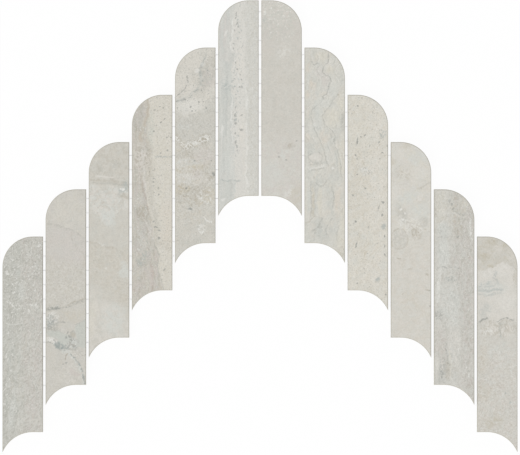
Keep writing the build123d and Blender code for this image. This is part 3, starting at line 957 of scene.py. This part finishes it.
# %% Right strip 2: the knot below the lines
ink(face, IVORY, 0.70, blot(face, 8.3, 80.0, 8.5, 5.5, soft=0.3, mark=True))
ink(face, FLINT, 0.40, ring(face, 8.3, 80.4, 9.6, 7.5, 0.7), broken)
ink(face, CHALK, 0.65, vein(face, "across", [(4.4, 89), (9, 87.4), (13.6, 86.2)], 1.0))
ink(face, FLINT, 0.35, vein(face, "across", [(3, 91), (9, 89.2), (14, 88)], 0.7))
ink(face, FLINT, 0.35, vein(face, "across", [(3.5, 86), (9, 85), (13, 84)], 0.7))
ink(face, PEWTER, 0.45, specks(face, (11.5, 97, 7, 7), (6, 73, 8, 8)), cloud(face, 2.4, 0.6, 0.1, seed=8))
ink(face, FLINT, 0.50,
    vein(face, "across", [(7.5, 94), (9, 99.4), (12, 101.8), (14, 100), (16.5, 96)], 0.8), broken)
ink(face, CHALK, 0.45, vein(face, "across", [(8.8, 92.8), (10.4, 98), (12.4, 99.8), (15.4, 95)], 0.8),
    broken)

# %% Right strip 2: the foot
ink(face, BUFF, 0.65, blot(face, 6.2, 112.5, 2.4, 22.0, soft=0.4, mark=True),
    cloud(face, 2.0, 0.75, 0.12, 2.0, seed=12))
ink(face, FLINT, 0.50, vein(face, "down", [(5, 98), (4.6, 108), (5, 116), (4.8, 124)], 0.7), broken)
ink(face, FLINT, 0.35, vein(face, "down", [(7.8, 102), (7.8, 113), (7.2, 122)], 0.6), broken)
ink(face, MIST, 0.50, blot(face, 3.2, 112.0, 2.6, 20.0, mark=True))
ink(face, CREAM, 0.70, blot(face, 11.3, 112.5, 3.4, 20.0, soft=0.4, mark=True))
ink(face, PEWTER, 0.28, blot(face, 18.5, 110.0, 7.5, 14.0, soft=0.4, mark=True))
ink(face, FLINT, 0.55, vein(face, "down", [(20.3, 102.5), (21.6, 109), (20.7, 116.5)], 0.7), broken)
ink(face, UMBER, 0.45, vein(face, "across", [(0, 129), (4, 126.5), (7.2, 123.7)], 0.8))
ink(face, PEWTER, 0.40, blot(face, 14.0, 134.0, 15.0, 15.0), cloud(face, 3.0, 0.65, 0.1, seed=9))
ink(face, FLINT, 0.55, vein(face, "across", [(6.5, 134.4), (9.5, 131.8), (13, 131)], 1.3), broken)
ink(face, FLINT, 0.45, vein(face, "down", [(20.5, 125.5), (16.3, 131), (15.4, 137)], 0.8), broken)
ink(face, FLINT, 0.40, vein(face, "down", [(13, 125), (9, 133), (6.5, 141)], 0.8), broken)
ink(face, FLINT, 0.35, vein(face, "down", [(27.6, 118), (27.8, 126), (24.6, 134), (23.8, 142)], 0.7),
    broken)
ink(face, UMBER, 0.40, blot(face, 28.0, 149.0, 5.0, 12.0), cloud(face, 1.8, 0.5, 0.1, seed=13))
crystals(face, 0.16, 3.0, broken, stretch=1.6, turn=20.0, dark=FLINT)
ink(face, CHALK, 0.85, specks(face, (20.9, 89, 1.8, 1.6)))
finish_face(face, 0.11)

# %% [markdown]
# A cream face with many small dark pits. The finest are clouds with a small share, and those that stand
# out are placed one by one.

# %% Right strip 3: cream with dark pits
face = start_face("tile_right_3", "#e2ddd1")
mottle(face, 0.10, 1.4, shades=(UMBER, ASH, IVORY, MIST))
ink(face, SHELL, 0.70, specks(face, (22, 20, 12, 34), (22, 66, 11, 60), (20, 124, 12, 30)))
ink(face, BUFF, 0.45, blot(face, 7.0, 68.0, 15.0, 60.0), cloud(face, 3.5, 0.5, 0.10, seed=2))
ink(face, BUFF, 0.35, cloud(face, 3.0, 0.32, 0.10, 2.0, 30.0, seed=3))
ink(face, MIST, 0.40, cloud(face, 5.0, 0.35, 0.10, 1.5, 30.0, seed=9))
ink(face, BUFF, 0.55, cloud(face, 1.4, 0.3, 0.08, 4.0, 35.0, seed=4), blot(face, 14.5, 114.0, 14.0, 24.0))
ink(face, MIST, 0.55, specks(face, (11.6, 103.7, 5, 5), (6, 120.8, 4, 6), (26, 124, 5, 8)))
crystals(face, 0.22, 2.0, dark=BUFF)

# %% Right strip 3: the pits
ink(face, PIT, 0.50, cloud(face, 1.2, 0.07, 0.05, 1.5, seed=5))
ink(face, ASH, 0.65, cloud(face, 1.0, 0.28, 0.06, seed=6), blot(face, 19.5, 12.0, 6.0, 14.0))
ink(face, SLATE, 0.60, blot(face, 26.2, 28.7, 4.5, 5.5), cloud(face, 1.6, 0.55, 0.1, seed=7))
ink(face, ASH, 0.70, squiggles(face, 2.2, 0.7, seed=8), blot(face, 13.5, 56.3, 7.0, 6.0))
ink(face, CHALK, 0.60, squiggles(face, 2.2, 0.6, seed=11), blot(face, 13.5, 56.3, 8.0, 7.0))
ink(face, SLATE, 0.65, specks(face, (26.2, 96.7, 2.2, 4.4, 10), (22, 135.4, 3.2, 4.0, 20)))
ink(face, PIT, 0.75, specks(
    face, (7.3, 7.9, 1.6, 1.2), (18.9, 3.7, 2.4, 1.0), (6.7, 34.2, 0.9, 5.5, 6), (9.8, 31, 1.0, 1.4),
    (6.1, 44.5, 1.2, 1.6), (6.7, 47, 1.0, 1.6), (12.8, 29.3, 1.0, 1.0), (22.6, 34.2, 2.0, 1.0),
    (29.3, 36.6, 1.2, 1.6), (25, 42, 1.4, 1.0), (7.3, 58.6, 1.4, 1.2), (13.4, 68.3, 1.4, 1.2),
    (3.7, 73.2, 1.4, 1.8), (22.6, 83, 0.8, 5.5, 6), (25.6, 78.7, 2.0, 1.4, 20), (25.6, 87.8, 1.4, 1.4),
    (6.1, 92.7, 1.6, 1.2), (6.1, 109.8, 1.0, 4.0, 5), (26.8, 103.7, 1.2, 1.4), (26.8, 111, 1.0, 1.8),
    (28.1, 117, 1.2, 1.6), (7.3, 138, 1.6, 1.2), (28.1, 145.8, 1.6, 1.2),
))
finish_face(face, 0.15)

# %% [markdown]
# A pale and cloudy face, on which the rims of rounded shapes show faintly. Rings give such rims, broken
# up by a cloud.

# %% Right strip 4: pale and cloudy, with faint rings
face = start_face("tile_right_4", "#dad5cc")
broken = cloud(face, 3.0, 0.6, 0.12, seed=1)
upper = side(face, "above", [(0, 78), (14, 74), (30, 66)], 5.0)
lower = side(face, "below", [(0, 78), (14, 72), (30, 74)], 4.0)
mottle(face, 0.10)
ink(face, MIST, 0.70, specks(face, (20, 11, 13, 11), (12, 41, 18, 9, -20), (21, 50, 13, 11)),
    cloud(face, 5.0, 0.8, 0.15, seed=2))
ink(face, IVORY, 0.60, specks(face, (22, 22, 12, 11), (21.5, 40, 4, 9, 10), (6, 9, 10, 8), (3, 36, 8, 12)))
ink(face, BUFF, 0.35, ring(face, 21.5, 40.0, 5.0, 10.0, 0.8, 10.0), broken)
ink(face, BUFF, 0.30, ring(face, 21.0, 22.0, 14.0, 13.0, 0.8), broken)
ink(face, CREAM, 0.45, upper, squiggles(face, 9.0, 1.4, seed=8), broken)
ink(face, MIST, 0.30, cloud(face, 6.0, 0.50, 0.12, seed=3), upper)
ink(face, UMBER, 0.40, blot(face, 8.0, 22.5, 12.0, 11.0), cloud(face, 2.2, 0.40, 0.08, seed=4))
ink(face, BUFF, 0.40, specks(face, (12, 2.5, 7, 4), (1.5, 14, 4, 5)))
ink(face, TAUPE, 0.55, vein(face, "across", [(21, 34.5), (25, 32), (30, 29)], 1.1))
ink(face, ASH, 0.50, specks(face, (8.5, 53, 6, 15, -20), (24.5, 58, 6, 7, 20)),
    cloud(face, 2.5, 0.7, 0.12, seed=9))
ink(face, CHALK, 1.0, specks(face, (7.1, 48.8, 1.6, 2.0), (8.5, 56.7, 1.2, 2.0, -20), (10, 52, 1.0, 1.2)))
ink(face, CHALK, 0.60, squiggles(face, 2.6, 0.7, seed=10), blot(face, 14.0, 60.0, 20.0, 12.0))

# %% Right strip 4: the lower half
ink(face, ASH, 0.38, blot(face, 6.1, 71.0, 12.5, 13.5, soft=0.2, mark=True),
    cloud(face, 2.0, 0.55, 0.08, seed=5))
ink(face, UMBER, 0.45, ring(face, 6.1, 71.0, 13.0, 14.0, 0.8), broken)
ink(face, UMBER, 0.60, blot(face, 18.0, 66.5, 10.0, 7.0, 40.0, mark=True),
    cloud(face, 2.2, 0.55, 0.1, seed=11))
ink(face, UMBER, 0.35, vein(face, "across", [(13, 58.5), (20, 61), (28, 65)], 0.8), broken)
ink(face, UMBER, 0.65, specks(
    face, (5.5, 85.4, 3.0, 1.4), (14.6, 93.3, 3.0, 1.2, -20), (26.8, 97, 2.6, 1.6),
    (26.8, 108.2, 3.6, 1.2), (9.2, 111.6, 1.2, 1.2),
))
ink(face, PIT, 0.55, specks(face, (28.3, 108.4, 2.0, 1.2), (28.7, 120.2, 1.4, 1.4)))
ink(face, BUFF, 0.45, blot(face, 15.5, 113.0, 10.0, 8.0), cloud(face, 2.4, 0.5, 0.1, seed=6))
ink(face, BUFF, 0.30, vein(face, "down", [(16, 116), (20, 121), (27, 126)], 2.2), broken)
ink(face, MIST, 0.30, lower, cloud(face, 6.0, 0.45, 0.12, 0.6, -20.0, seed=7, swirl=0.5))
ink(face, BUFF, 0.18, lower, cloud(face, 5.0, 0.4, 0.12, 0.6, -20.0, seed=12, swirl=0.5))
crystals(face, 0.12, 2.4, dark=BUFF)
finish_face(face, 0.09)

# %% [markdown]
# Another face that is cut across the bedding, with a pale column on its left and warm grey streaks on its
# right. The column is laid over the streaks, and its dark ends are drawn as veins.

# %% Right strip 5: grey and vein-cut, with a pale column
face = start_face("tile_right_5", "#d0cdc5")
broken = cloud(face, 2.5, 0.6, 0.10, seed=1)
right_bed = side(face, "right", [(14, 0), (14, 40), (12, 57), (18, 70), (20, 100), (21, 143)], 2.5)
left_foot = specks(face, (5, 114, 9, 24))
mottle(face, 0.14, 1.8)
ink(face, TAUPE, 0.55, right_bed, cloud(face, 3.0, 0.6, 0.10, 3.0, seed=2))
ink(face, BLUSH, 0.55, right_bed, cloud(face, 2.4, 0.5, 0.10, 2.0, seed=3))
ink(face, UMBER, 0.25, right_bed, cloud(face, 1.8, 0.3, 0.08, 2.5, seed=13))
ink(face, MIST, 0.40, right_bed, cloud(face, 2.0, 0.35, 0.08, 5.0, seed=20))
ink(face, CREAM, 0.60, blot(face, 5.0, 13.0, 9.0, 26.0, soft=0.4, mark=True),
    cloud(face, 2.0, 0.75, 0.12, 2.0, seed=15))
ink(face, BUFF, 0.45, blot(face, 16.0, 19.0, 13.0, 28.0), cloud(face, 2.4, 0.55, 0.1, seed=21))
ink(face, CREAM, 0.55, specks(face, (22, 11, 5, 9)), cloud(face, 2.0, 0.75, 0.12, seed=22))
ink(face, UMBER, 0.50, blot(face, 18.5, 29.0, 6.0, 13.0, mark=True), cloud(face, 1.8, 0.55, 0.1, seed=23))
ink(face, UMBER, 0.40, specks(face, (1.5, 14, 2.0, 20)), cloud(face, 1.8, 0.6, 0.1, 2.0, seed=16))
ink(face, PIT, 0.60, specks(
    face, (11.7, 7.8, 1.8, 2.6), (12.9, 11.1, 1.8, 2.0), (13.8, 14.3, 2.4, 1.6, -30),
    (17.4, 34.7, 2.0, 1.6),
))
ink(face, PIT, 0.50, vein(face, "across", [(14, 15.2), (18, 18), (23, 18.8)], 0.9), broken)
ink(face, PIT, 0.40, vein(face, "across", [(17, 21.8), (23.5, 22.8)], 0.8), broken)
ink(face, CHALK, 0.50, vein(face, "across", [(14.5, 17), (18, 19.6), (22, 20.4)], 0.8), broken)

# %% Right strip 5: the pale column
ink(face, MIST, 0.80, specks(face, (6.9, 28, 7.4, 6), (6.9, 32, 7.4, 6)))
ink(face, ASH, 0.45, cloud(face, 1.0, 0.35, 0.08, seed=17), specks(face, (6.9, 30, 7, 9)))
ink(face, PIT, 0.50, vein(face, "across", [(3.4, 35), (10.4, 35)], 0.6, fade=0.6))
ink(face, MIST, 0.75, blot(face, 6.9, 46.5, 8.5, 24.0, soft=0.3, mark=True))
ink(face, ASH, 0.25, blot(face, 6.9, 46.5, 8.5, 24.0, mark=True), cloud(face, 1.0, 0.4, 0.08, 10.0, seed=5))
ink(face, CHALK, 0.45, blot(face, 6.9, 46.5, 8.5, 24.0, mark=True),
    cloud(face, 1.0, 0.4, 0.08, 10.0, seed=14))
ink(face, PIT, 0.55, vein(face, "across", [(2.8, 57.4), (9, 57.2), (18, 57.6)], 0.7), broken)
ink(face, CHALK, 0.75, vein(face, "down", [(4.4, 58.5), (3.6, 70), (2.6, 82)], 2.0),
    cloud(face, 3.0, 0.8, 0.12, 3.0, seed=24))
ink(face, DEEP_SLATE, 0.60, specks(face, (12.5, 65.5, 9, 4)), cloud(face, 1.6, 0.5, 0.1, seed=18))
ink(face, MIST, 0.65, blot(face, 12.0, 85.0, 15.0, 28.0), cloud(face, 2.6, 0.65, 0.10, 1.4, seed=4))
ink(face, CHALK, 0.60, specks(face, (12.8, 84.5, 7, 4)), cloud(face, 1.6, 0.5, 0.08, seed=25))
ink(face, PIT, 0.55, squiggles(face, 2.2, 0.7, seed=6), blot(face, 3.2, 92.5, 6.0, 8.0, mark=True))

# %% Right strip 5: the foot
ink(face, TAUPE, 0.55, left_foot, cloud(face, 2.4, 0.65, 0.1, 2.0, seed=8))
ink(face, BLUSH, 0.50, left_foot, cloud(face, 2.0, 0.5, 0.1, 1.6, seed=26))
ink(face, IVORY, 0.60, blot(face, 14.6, 113.0, 10.0, 26.0), cloud(face, 2.5, 0.6, 0.10, 1.6, seed=9))
ink(face, UMBER, 0.55, blot(face, 9.6, 131.5, 4.0, 15.0, soft=0.4, mark=True))
ink(face, IVORY, 0.75, blot(face, 2.8, 128.0, 3.0, 10.0, soft=0.4, mark=True))
ink(face, PIT, 0.55, squiggles(face, 2.4, 0.8, 2.0, seed=19), blot(face, 6.0, 132.0, 6.0, 16.0, mark=True))
ink(face, CREAM, 0.75, vein(face, "down", [(11.9, 120), (12.2, 128), (11.8, 138)], 0.9), broken)
ink(face, PIT, 0.45, vein(face, "down", [(8.6, 112), (9.2, 119), (10, 126)], 0.8), broken)
crystals(face, 0.26, 2.4, stretch=1.8)
ink(face, CHALK, 0.90, vein(face, "down", [(26.9, 23.5), (26.4, 27.5), (27.7, 31), (27.2, 33.5)], 0.9),
    cloud(face, 2.0, 0.7, 0.1, seed=27))
ink(face, CHALK, 0.85, specks(
    face, (28, 36.7, 1.4, 2.0), (23.2, 131, 1.4, 2.0, 20), (25.5, 136.5, 1.1, 3.0, -25),
    (18.3, 117, 1.0, 1.8),
))
flecks(face, 0.50, 1.4, 0.14, 15.0, 12, right_bed)
finish_face(face, 0.15)

# %% [markdown]
# Cream lobes hang below the crown, slate smears cross them, and a fold parts them from the warm grey
# below. Two drawn lines part these zones, and each zone has clouds of its own.

# %% Right strip 6: cream lobes and slate smears over warm grey
OCHRE = "#b8b09a"
face = start_face("tile_right_6", "#d3cfc6")
broken = cloud(face, 2.5, 0.6, 0.10, seed=1)
lobe_edge = [(0, 24), (6, 24.5), (11, 22.5), (15, 20), (20, 19), (24, 22), (26, 30), (30, 38)]
line = [(0, 62), (6, 60), (15, 62), (22, 59.5), (30, 62)]
lobes = side(face, "below", lobe_edge, 0.8)
above_lobes = side(face, "above", lobe_edge, 0.8)
above_line = side(face, "above", line, 1.5)
below_line = side(face, "below", line, 1.5)
lower = side(face, "below", [(0, 76), (30, 80)], 5.0)
mottle(face, 0.12)
ink(face, BUFF, 0.25, above_lobes, cloud(face, 5.0, 0.6, 0.12, seed=2))
ink(face, OCHRE, 0.25, above_lobes, cloud(face, 3.0, 0.30, 0.07, seed=4, swirl=0.5))
ink(face, OCHRE, 0.55, specks(face, (11, 4, 7, 4), (21, 6, 5, 3), (4.5, 14.5, 9, 6), (10, 22, 4, 3)),
    cloud(face, 2.0, 0.6, 0.1, seed=9))
ink(face, IVORY, 0.30, specks(face, (26, 12, 6, 12), (16, 9, 7, 5)))
ink(face, IVORY, 0.65, lobes, above_line, cloud(face, 9.0, 0.80, 0.2, seed=3))
ink(face, CHALK, 0.30, specks(face, (18, 25, 11, 10), (22, 48, 14, 10), (8, 27, 9, 6)), lobes,
    cloud(face, 3.0, 0.6, 0.15, seed=10))

# %% Right strip 6: the slate smears
ink(face, MIST, 0.60, blot(face, 9.0, 37.5, 24.0, 10.0), cloud(face, 3.0, 0.75, 0.12, 0.5, seed=11))
ink(face, SLATE, 0.45, blot(face, 8.0, 35.2, 18.0, 3.0), cloud(face, 3.0, 0.6, 0.12, 0.4, seed=12))
ink(face, SLATE, 0.45, vein(face, "across", [(0, 39.2), (10, 39.4), (18, 39)], 1.6))
ink(face, SLATE, 0.40, vein(face, "across", [(1, 42.4), (9, 42.6), (17, 41.6)], 1.4), broken)
ink(face, SLATE, 0.45, blot(face, 13.6, 29.5, 3.4, 9.0, -8.0), cloud(face, 1.8, 0.55, 0.1, seed=13))
ink(face, PEWTER, 0.55, blot(face, 4.0, 55.0, 9.0, 10.0), cloud(face, 3.0, 0.65, 0.12, seed=14))

# %% Right strip 6: the fold and the lower half
ink(face, PIT, 0.65, vein(face, "across", [(2.2, 62.3), (4, 60.8), (7, 59.8)], 0.9))
ink(face, PIT, 0.70, vein(face, "across", [(15.5, 61.5), (19, 59.8), (22, 59.4), (26, 61.4)], 0.8), broken)
ink(face, IVORY, 0.85, specks(face, (10.4, 67.5, 9, 9), (22, 69, 8, 9)),
    cloud(face, 2.0, 0.7, 0.12, 1.6, seed=5))
ink(face, UMBER, 0.35, below_line, blot(face, 15.0, 67.0, 32.0, 12.0),
    squiggles(face, 2.8, 0.8, 1.8, seed=15))
ink(face, SLATE, 0.50, vein(face, "down", [(16.6, 64), (16.4, 68), (17, 72)], 0.8), broken)
ink(face, CHALK, 0.65, squiggles(face, 2.4, 0.7, 1.6, seed=16), blot(face, 6.0, 69.0, 9.0, 8.0))
ink(face, MIST, 0.55, blot(face, 16.0, 83.0, 18.0, 11.0), cloud(face, 3.0, 0.65, 0.12, seed=17))
ink(face, BLUSH, 0.28, lower, cloud(face, 5.0, 0.5, 0.12, seed=18))
ink(face, IVORY, 0.45, lower, cloud(face, 3.0, 0.45, 0.12, seed=20))
ink(face, MIST, 0.50, lower, cloud(face, 4.0, 0.4, 0.10, seed=19))
ink(face, BUFF, 0.40, specks(face, (3.7, 90, 9, 20), (5, 114, 10, 14)), cloud(face, 4.0, 0.7, 0.15, seed=6))
ink(face, PIT, 0.35, cloud(face, 1.2, 0.16, 0.06, seed=21),
    specks(face, (24, 122, 12, 26), (8, 104, 12, 10)))
ink(face, UMBER, 0.30, cloud(face, 1.8, 0.20, 0.08, seed=7), side(face, "below", [(0, 98), (30, 94)], 6.0))
crystals(face, 0.22, 2.2, lower, dark=UMBER)
ink(face, OCHRE, 0.55, blot(face, 12.0, 135.4, 12.0, 9.0), cloud(face, 2.5, 0.6, 0.12, seed=8))
ink(face, SLATE, 0.60, specks(face, (20.7, 114.7, 1.6, 1.6), (24.4, 122, 1.8, 1.4)))
finish_face(face, 0.12)

# %% [markdown]
# The strips hang together by a woven glass-fibre mesh, glued across their backs. Only its yarns show, at
# the bottom of the joints and from below. A texture with holes would be lighter, but real yarns are also
# true geometry. The weft yarns are straight and flat. Each warp yarn is a pair of strands that swap
# sides at every weft, as in leno weave. All yarns start as flat ribbons, which are cut to the outline of
# the solid mesh and then made thick.

# %% Sizes of the mesh
mesh_low, mesh_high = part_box("mesh_backing")
first_low, first_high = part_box("tile_right_1")
next_low, next_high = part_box("tile_right_2")
strip_pitch = next_low.x - first_low.x
leg_slope = (first_high.y - next_high.y) / strip_pitch
YARNS_PER_STRIP = 3  # no warp yarn then lies in a joint
yarn_pitch = strip_pitch / YARNS_PER_STRIP
WEFT_WIDTH = 0.24 * MM
STRAND_WIDTH = 0.30 * MM
STRAND_GAP = 0.42 * MM  # between the middles of a pair of strands
STEPS_PER_WEFT = 4  # how finely a strand bends from one weft to the next
YARN_THICKNESS = 0.14 * MM
mesh_middle = (mesh_low.z + mesh_high.z) / 2
weave_height = (mesh_high.z - mesh_low.z - YARN_THICKNESS) / 2
rows = math.ceil((mesh_high.y - mesh_low.y) / yarn_pitch)
columns = math.floor(mesh_high.x / yarn_pitch)
print("yarns every", round(yarn_pitch / MM, 2), "mm")


# %% Lay the yarns
def lay_ribbon(shape, across, down, wide, long, steps):
    """The top of one flat yarn, with cross edges along its length, and its corners."""
    ribbon = bmesh.ops.create_grid(shape, x_segments=1, y_segments=steps, size=0.5)["verts"]
    bmesh.ops.scale(shape, vec=(wide, long, 1.0), verts=ribbon)
    bmesh.ops.translate(shape, vec=(across, down, mesh_middle + YARN_THICKNESS / 2), verts=ribbon)
    return ribbon


weave = bmesh.new()
length = rows * yarn_pitch
for row in range(rows):
    lay_ribbon(weave, 0.0, mesh_high.y - (row + 0.5) * yarn_pitch, 2 * mesh_high.x, WEFT_WIDTH, 1)
for column in range(-columns - 1, columns + 1):
    for swap in (-1, 1):
        across = (column + 0.5) * yarn_pitch + swap * STRAND_GAP / 2
        middle = mesh_high.y - length / 2
        strand = lay_ribbon(weave, across, middle, STRAND_WIDTH, length, rows * STEPS_PER_WEFT)
        for corner in strand:
            phase = (mesh_high.y - corner.co.y) / yarn_pitch * math.pi
            corner.co.z += swap * weave_height * math.sin(phase)
print("yarns laid with", len(weave.faces), "faces")


# %% Cut the yarns to the outline
def cut_beyond(shape, patches, spot, outward):
    """Cut these faces along an upright plane, and drop what lies beyond it."""
    corners = dict.fromkeys(corner for patch in patches for corner in patch.verts)
    edges = dict.fromkeys(edge for patch in patches for edge in patch.edges)
    geometry = [*corners, *edges, *patches]
    bmesh.ops.bisect_plane(shape, geom=geometry, plane_co=spot, plane_no=outward, clear_outer=True)


everything = weave.verts[:] + weave.edges[:] + weave.faces[:]
bmesh.ops.bisect_plane(weave, geom=everything, plane_co=(0.0, 0.0, 0.0), plane_no=(1.0, 0.0, 0.0))
for hand in (-1, 1):
    end = hand * mesh_high.x
    for spot, outward in (
        ((0.0, mesh_high.y, 0.0), (hand * leg_slope, 1.0, 0.0)),
        ((end, mesh_low.y, 0.0), (-hand * leg_slope, -1.0, 0.0)),
        ((end, 0.0, 0.0), (hand, 0.0, 0.0)),
    ):
        leg = [patch for patch in weave.faces if patch.calc_center_median().x * hand > 0]
        cut_beyond(weave, leg, spot, outward)
print("yarns cut to", len(weave.faces), "faces")

# %% Make the yarns thick and put them in place
bmesh.ops.solidify(weave, geom=weave.faces[:], thickness=YARN_THICKNESS)
yarns = bpy.data.meshes.new("mesh_yarns")
weave.to_mesh(yarns)
weave.free()
mesh_yarns = bpy.data.objects.new("mesh_yarns", yarns)
bpy.context.scene.collection.objects.link(mesh_yarns)
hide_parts("mesh_backing")
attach(mesh_yarns, "root")
heights = [round(corner.co.z / MM, 3) for corner in yarns.vertices]
print("mesh has", len(yarns.polygons), "faces, from", min(heights), "to", max(heights), "mm high")

# %% [markdown]
# Glass-fibre yarn is a bundle of fine filaments in a white coating. Plain white would do from far away,
# but the bundle lets a little light through and shines softly, so the shader has some transmission, a
# fine relief and two near whites. The real filaments would not show, so they are drawn several times as
# thick.

# %% Glass-fibre yarn
FILAMENT = 0.12 * MM
FILAMENT_RELIEF = 0.05 * MM
# Coated glass fibre looks white and a little see-through, with a soft shine.
glass_yarn = bpy.data.materials.new("coated_glass_fibre_yarn")
glass_yarn.use_nodes = True
tree = glass_yarn.node_tree
tree.nodes.clear()
metres = add(tree, "ShaderNodeTexCoord").outputs["Object"]
bundle = {"Vector": metres, "Scale": 1 / FILAMENT, "Detail": 2.0}
fibres = add(tree, "ShaderNodeTexNoise", bundle).outputs[0]
whites = {0: fibres, 6: linear("#f2f2ee"), 7: linear("#fbfbf8")}
tint = add(tree, "ShaderNodeMix", whites, data_type="RGBA").outputs[2]
ridges = {"Height": fibres, "Strength": 0.3, "Distance": FILAMENT_RELIEF}
relief = add(tree, "ShaderNodeBump", ridges).outputs[0]
surface = {"Base Color": tint, "Roughness": 0.5, "IOR": 1.5, "Transmission Weight": 0.45, "Normal": relief}
shader = add(tree, "ShaderNodeBsdfPrincipled", surface).outputs[0]
add(tree, "ShaderNodeOutputMaterial", {"Surface": shader})
yarns.materials.append(glass_yarn)
print(glass_yarn.name, "has", len(tree.nodes), "nodes")
